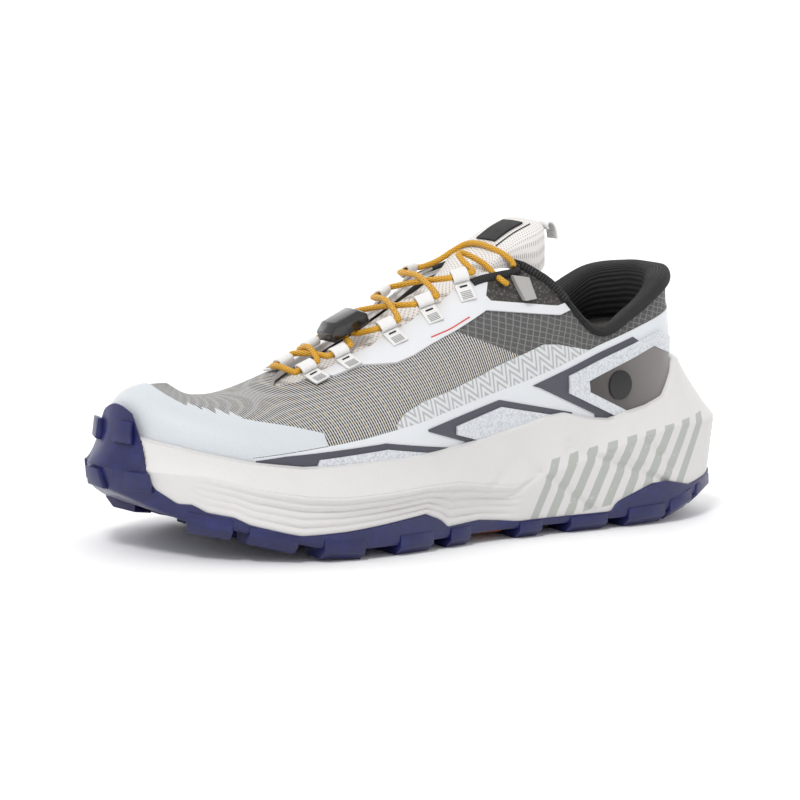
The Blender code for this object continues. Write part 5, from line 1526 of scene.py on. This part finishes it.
def lock_mouth(side, way):
    """Two points where the lace leaves the lock's underside."""
    centre, along, up = lock_place()
    length, width, height = LOCK
    mouth = (centre + along * way * length * 0.10 + SIDEWAYS * side * width * 0.27
             - up * (height / 2 - 0.6))
    return [mouth, mouth + along * way * 0.6 - up * 2.0]


def make_laces():
    """One lace in front of the lock and two behind it."""
    # In front: lock, loop 2 lateral, loop 1 medial, the bar, loop 1 lateral, loop 2 medial, lock
    first = through(1, 1, True)
    second = through(0, -1, True)
    third = through(0, 1, False)
    fourth = through(1, -1, False)
    bar_middle = (second[-1] + third[0]) / 2 + np.array([2.0, 0, 1.2])
    front = [*lock_mouth(1, 1), *first, *between(first[-1], second[0], PASS_UNDER), *second, bar_middle,
             *third, *between(third[-1], fourth[0], OVER), *fourth, *lock_mouth(-1, 1)[::-1]]
    finish(lace_tube("lace_front", smooth_path(front, PATH_STEPS)), LOOKS["lace"], "lace_gold",
           "lace_bar", "lace_crossing_1", "lace_at_lock_lateral_2", "lace_at_lock_medial_2")
    # Behind it: lock, loop 3, loop 4 across the tongue, loop 5
    for side, sign, lift, crossing in (("lateral", 1, OVER, 3), ("medial", -1, PASS_UNDER, 4)):
        first = through(2, sign, False)
        second = through(3, -sign, False)
        third = through(4, sign, False)[:-1]
        path = [*lock_mouth(sign, -1), *first, *between(first[-1], second[0], lift), *second,
                *between(second[-1], third[0], OVER + PASS_UNDER - lift), *third]
        finish(lace_tube("lace_back_" + side, smooth_path(path, PATH_STEPS)), LOOKS["lace"],
               "lace_gold", f"lace_crossing_{crossing}", f"lace_at_lock_{side}_3")


def on_ankle(s, z, lift):
    """Place on the lateral side of the ankle, at a length and a height."""
    v = find(lambda place: curve_point(place, 0.9)[..., 0] > s, np.array(4.0), np.array(6.4))
    return spot(v, at_height(v, z), lift)


# The lace's free ends, as in the source: over the tongue, and round a bend beside it
OVER_TONGUE = ((140, -18, 110.5), (132.5, -17, 113), (127, -12.5, 118), (124.4, -6.5, 121.6),
               (123.6, 2, 122.3), (123.5, 10, 121.2), (121.8, 16.8, 119), (120.2, 20.8, 116))
HAIRPIN = ((141.4, 13.5, 116.3), (140.3, 8.5, 118.9), (136.3, 8.3, 118.8), (131.7, 15, 115.3),
           (129.3, 20, 111))
KEEPER_LIFT = 2.4       # the lace's middle in the keeper, off the skin


def make_lace_ends():
    upper = [*lace_start(4, -1, False), *OVER_TONGUE, on_ankle(120.0, 112.6, KEEPER_LIFT)]
    lower = [*lace_start(4, 1, False), *HAIRPIN, on_ankle(127.6, 107.0, KEEPER_LIFT + 0.7),
             on_ankle(125.4, 106.0, KEEPER_LIFT)]
    for name, points in (("upper", upper), ("lower", lower)):
        path = smooth_path(points, PATH_STEPS)
        piece = lace_tube("lace_tail_" + name, path)
        finish(piece, LOOKS["lace"], "lace_gold", "lace_end_" + name)
        placed = to_scene(path)
        length = float(path_length(placed))


def copy_of(node, name, rounding, look, slot, angle):
    """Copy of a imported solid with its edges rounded."""
    only(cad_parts[node])
    bpy.ops.object.duplicate()
    piece = bpy.context.object
    piece.name = name
    piece.data.name = name
    for key in [key for key in piece.keys() if key.startswith("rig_")]:
        del piece[key]
    piece.parent = None
    weld(piece, 0.01)
    with editing(piece):
        bpy.ops.mesh.dissolve_limited(angle_limit=math.radians(1.5))
    bevel(piece, rounding, 3, angle)
    smooth(piece, 50)
    finish(piece, LOOKS[look], slot, node)


def make_fittings():
    copy_of("cord_lock", "lock_body", 0.5, "lock", "lock_black", 20)
    copy_of("lace_keeper", "keeper_clip", 0.35, "clip", "clip_grey", 45)
    copy_of("arch_plate", "arch_insert", 0.3, "brown", "plate_brown", 30)
    copy_of("insole", "insole_cloth", 0.8, "insole", "insole_grey", 60)


make_lace_ends()
make_laces()
make_loops()
make_upper()
make_overlays()
make_midsole()
make_outsole()
make_tongue()
make_thread_lines()
make_collar()
make_bindings()
make_fittings()


# Floor, light and backdrop

STAGE_WHITE = (252, 252, 252)
# Suns: where from, spread in degrees, strength
SUNS = {"key": ((-0.9, -0.6, 1.5), 14, 1.3), "rim": ((0.9, 0.8, 1.2), 30, 0.4)}


def make_studio():
    """Pale floor, a white backdrop square to the camera, soft light from all round and two suns."""
    bpy.ops.object.select_all(action="DESELECT")
    bpy.ops.mesh.primitive_plane_add(size=60)
    floor = bpy.context.object
    floor.name = "floor"
    look = Finish("floor_pale", Roughness=0.8)
    floor.data.materials.append(look.done(shade(*STAGE_WHITE)))
    bpy.ops.mesh.primitive_plane_add(size=30, location=(4.8, 6.4, 0),
                                     rotation=(math.radians(90), 0, math.radians(CAMERA_TURN[0])))
    backdrop = bpy.context.object
    backdrop.name = "backdrop"
    look = Finish("backdrop_white", Roughness=1.0, Emission_Color=(1, 1, 1, 1),
                  Emission_Strength=0.3)
    backdrop.data.materials.append(look.done(shade(*STAGE_WHITE)))
    bpy.context.scene.view_settings.view_transform = "Standard"
    world = bpy.data.worlds.new("studio")
    bpy.context.scene.world = world
    world.use_nodes = True
    light = world.node_tree.nodes["Background"]
    light.inputs[0].default_value = (1, 1, 1, 1)
    light.inputs[1].default_value = 0.80
    for name, (place, spread, power) in SUNS.items():
        bpy.ops.object.light_add(type="SUN", location=place)
        sun = bpy.context.object
        sun.name = name
        sun.data.angle = math.radians(spread)
        sun.data.energy = power
        sun.rotation_euler = (Vector((0, 0, 0.05)) - Vector(place)).to_track_quat("-Z", "Y").to_euler()


make_studio()
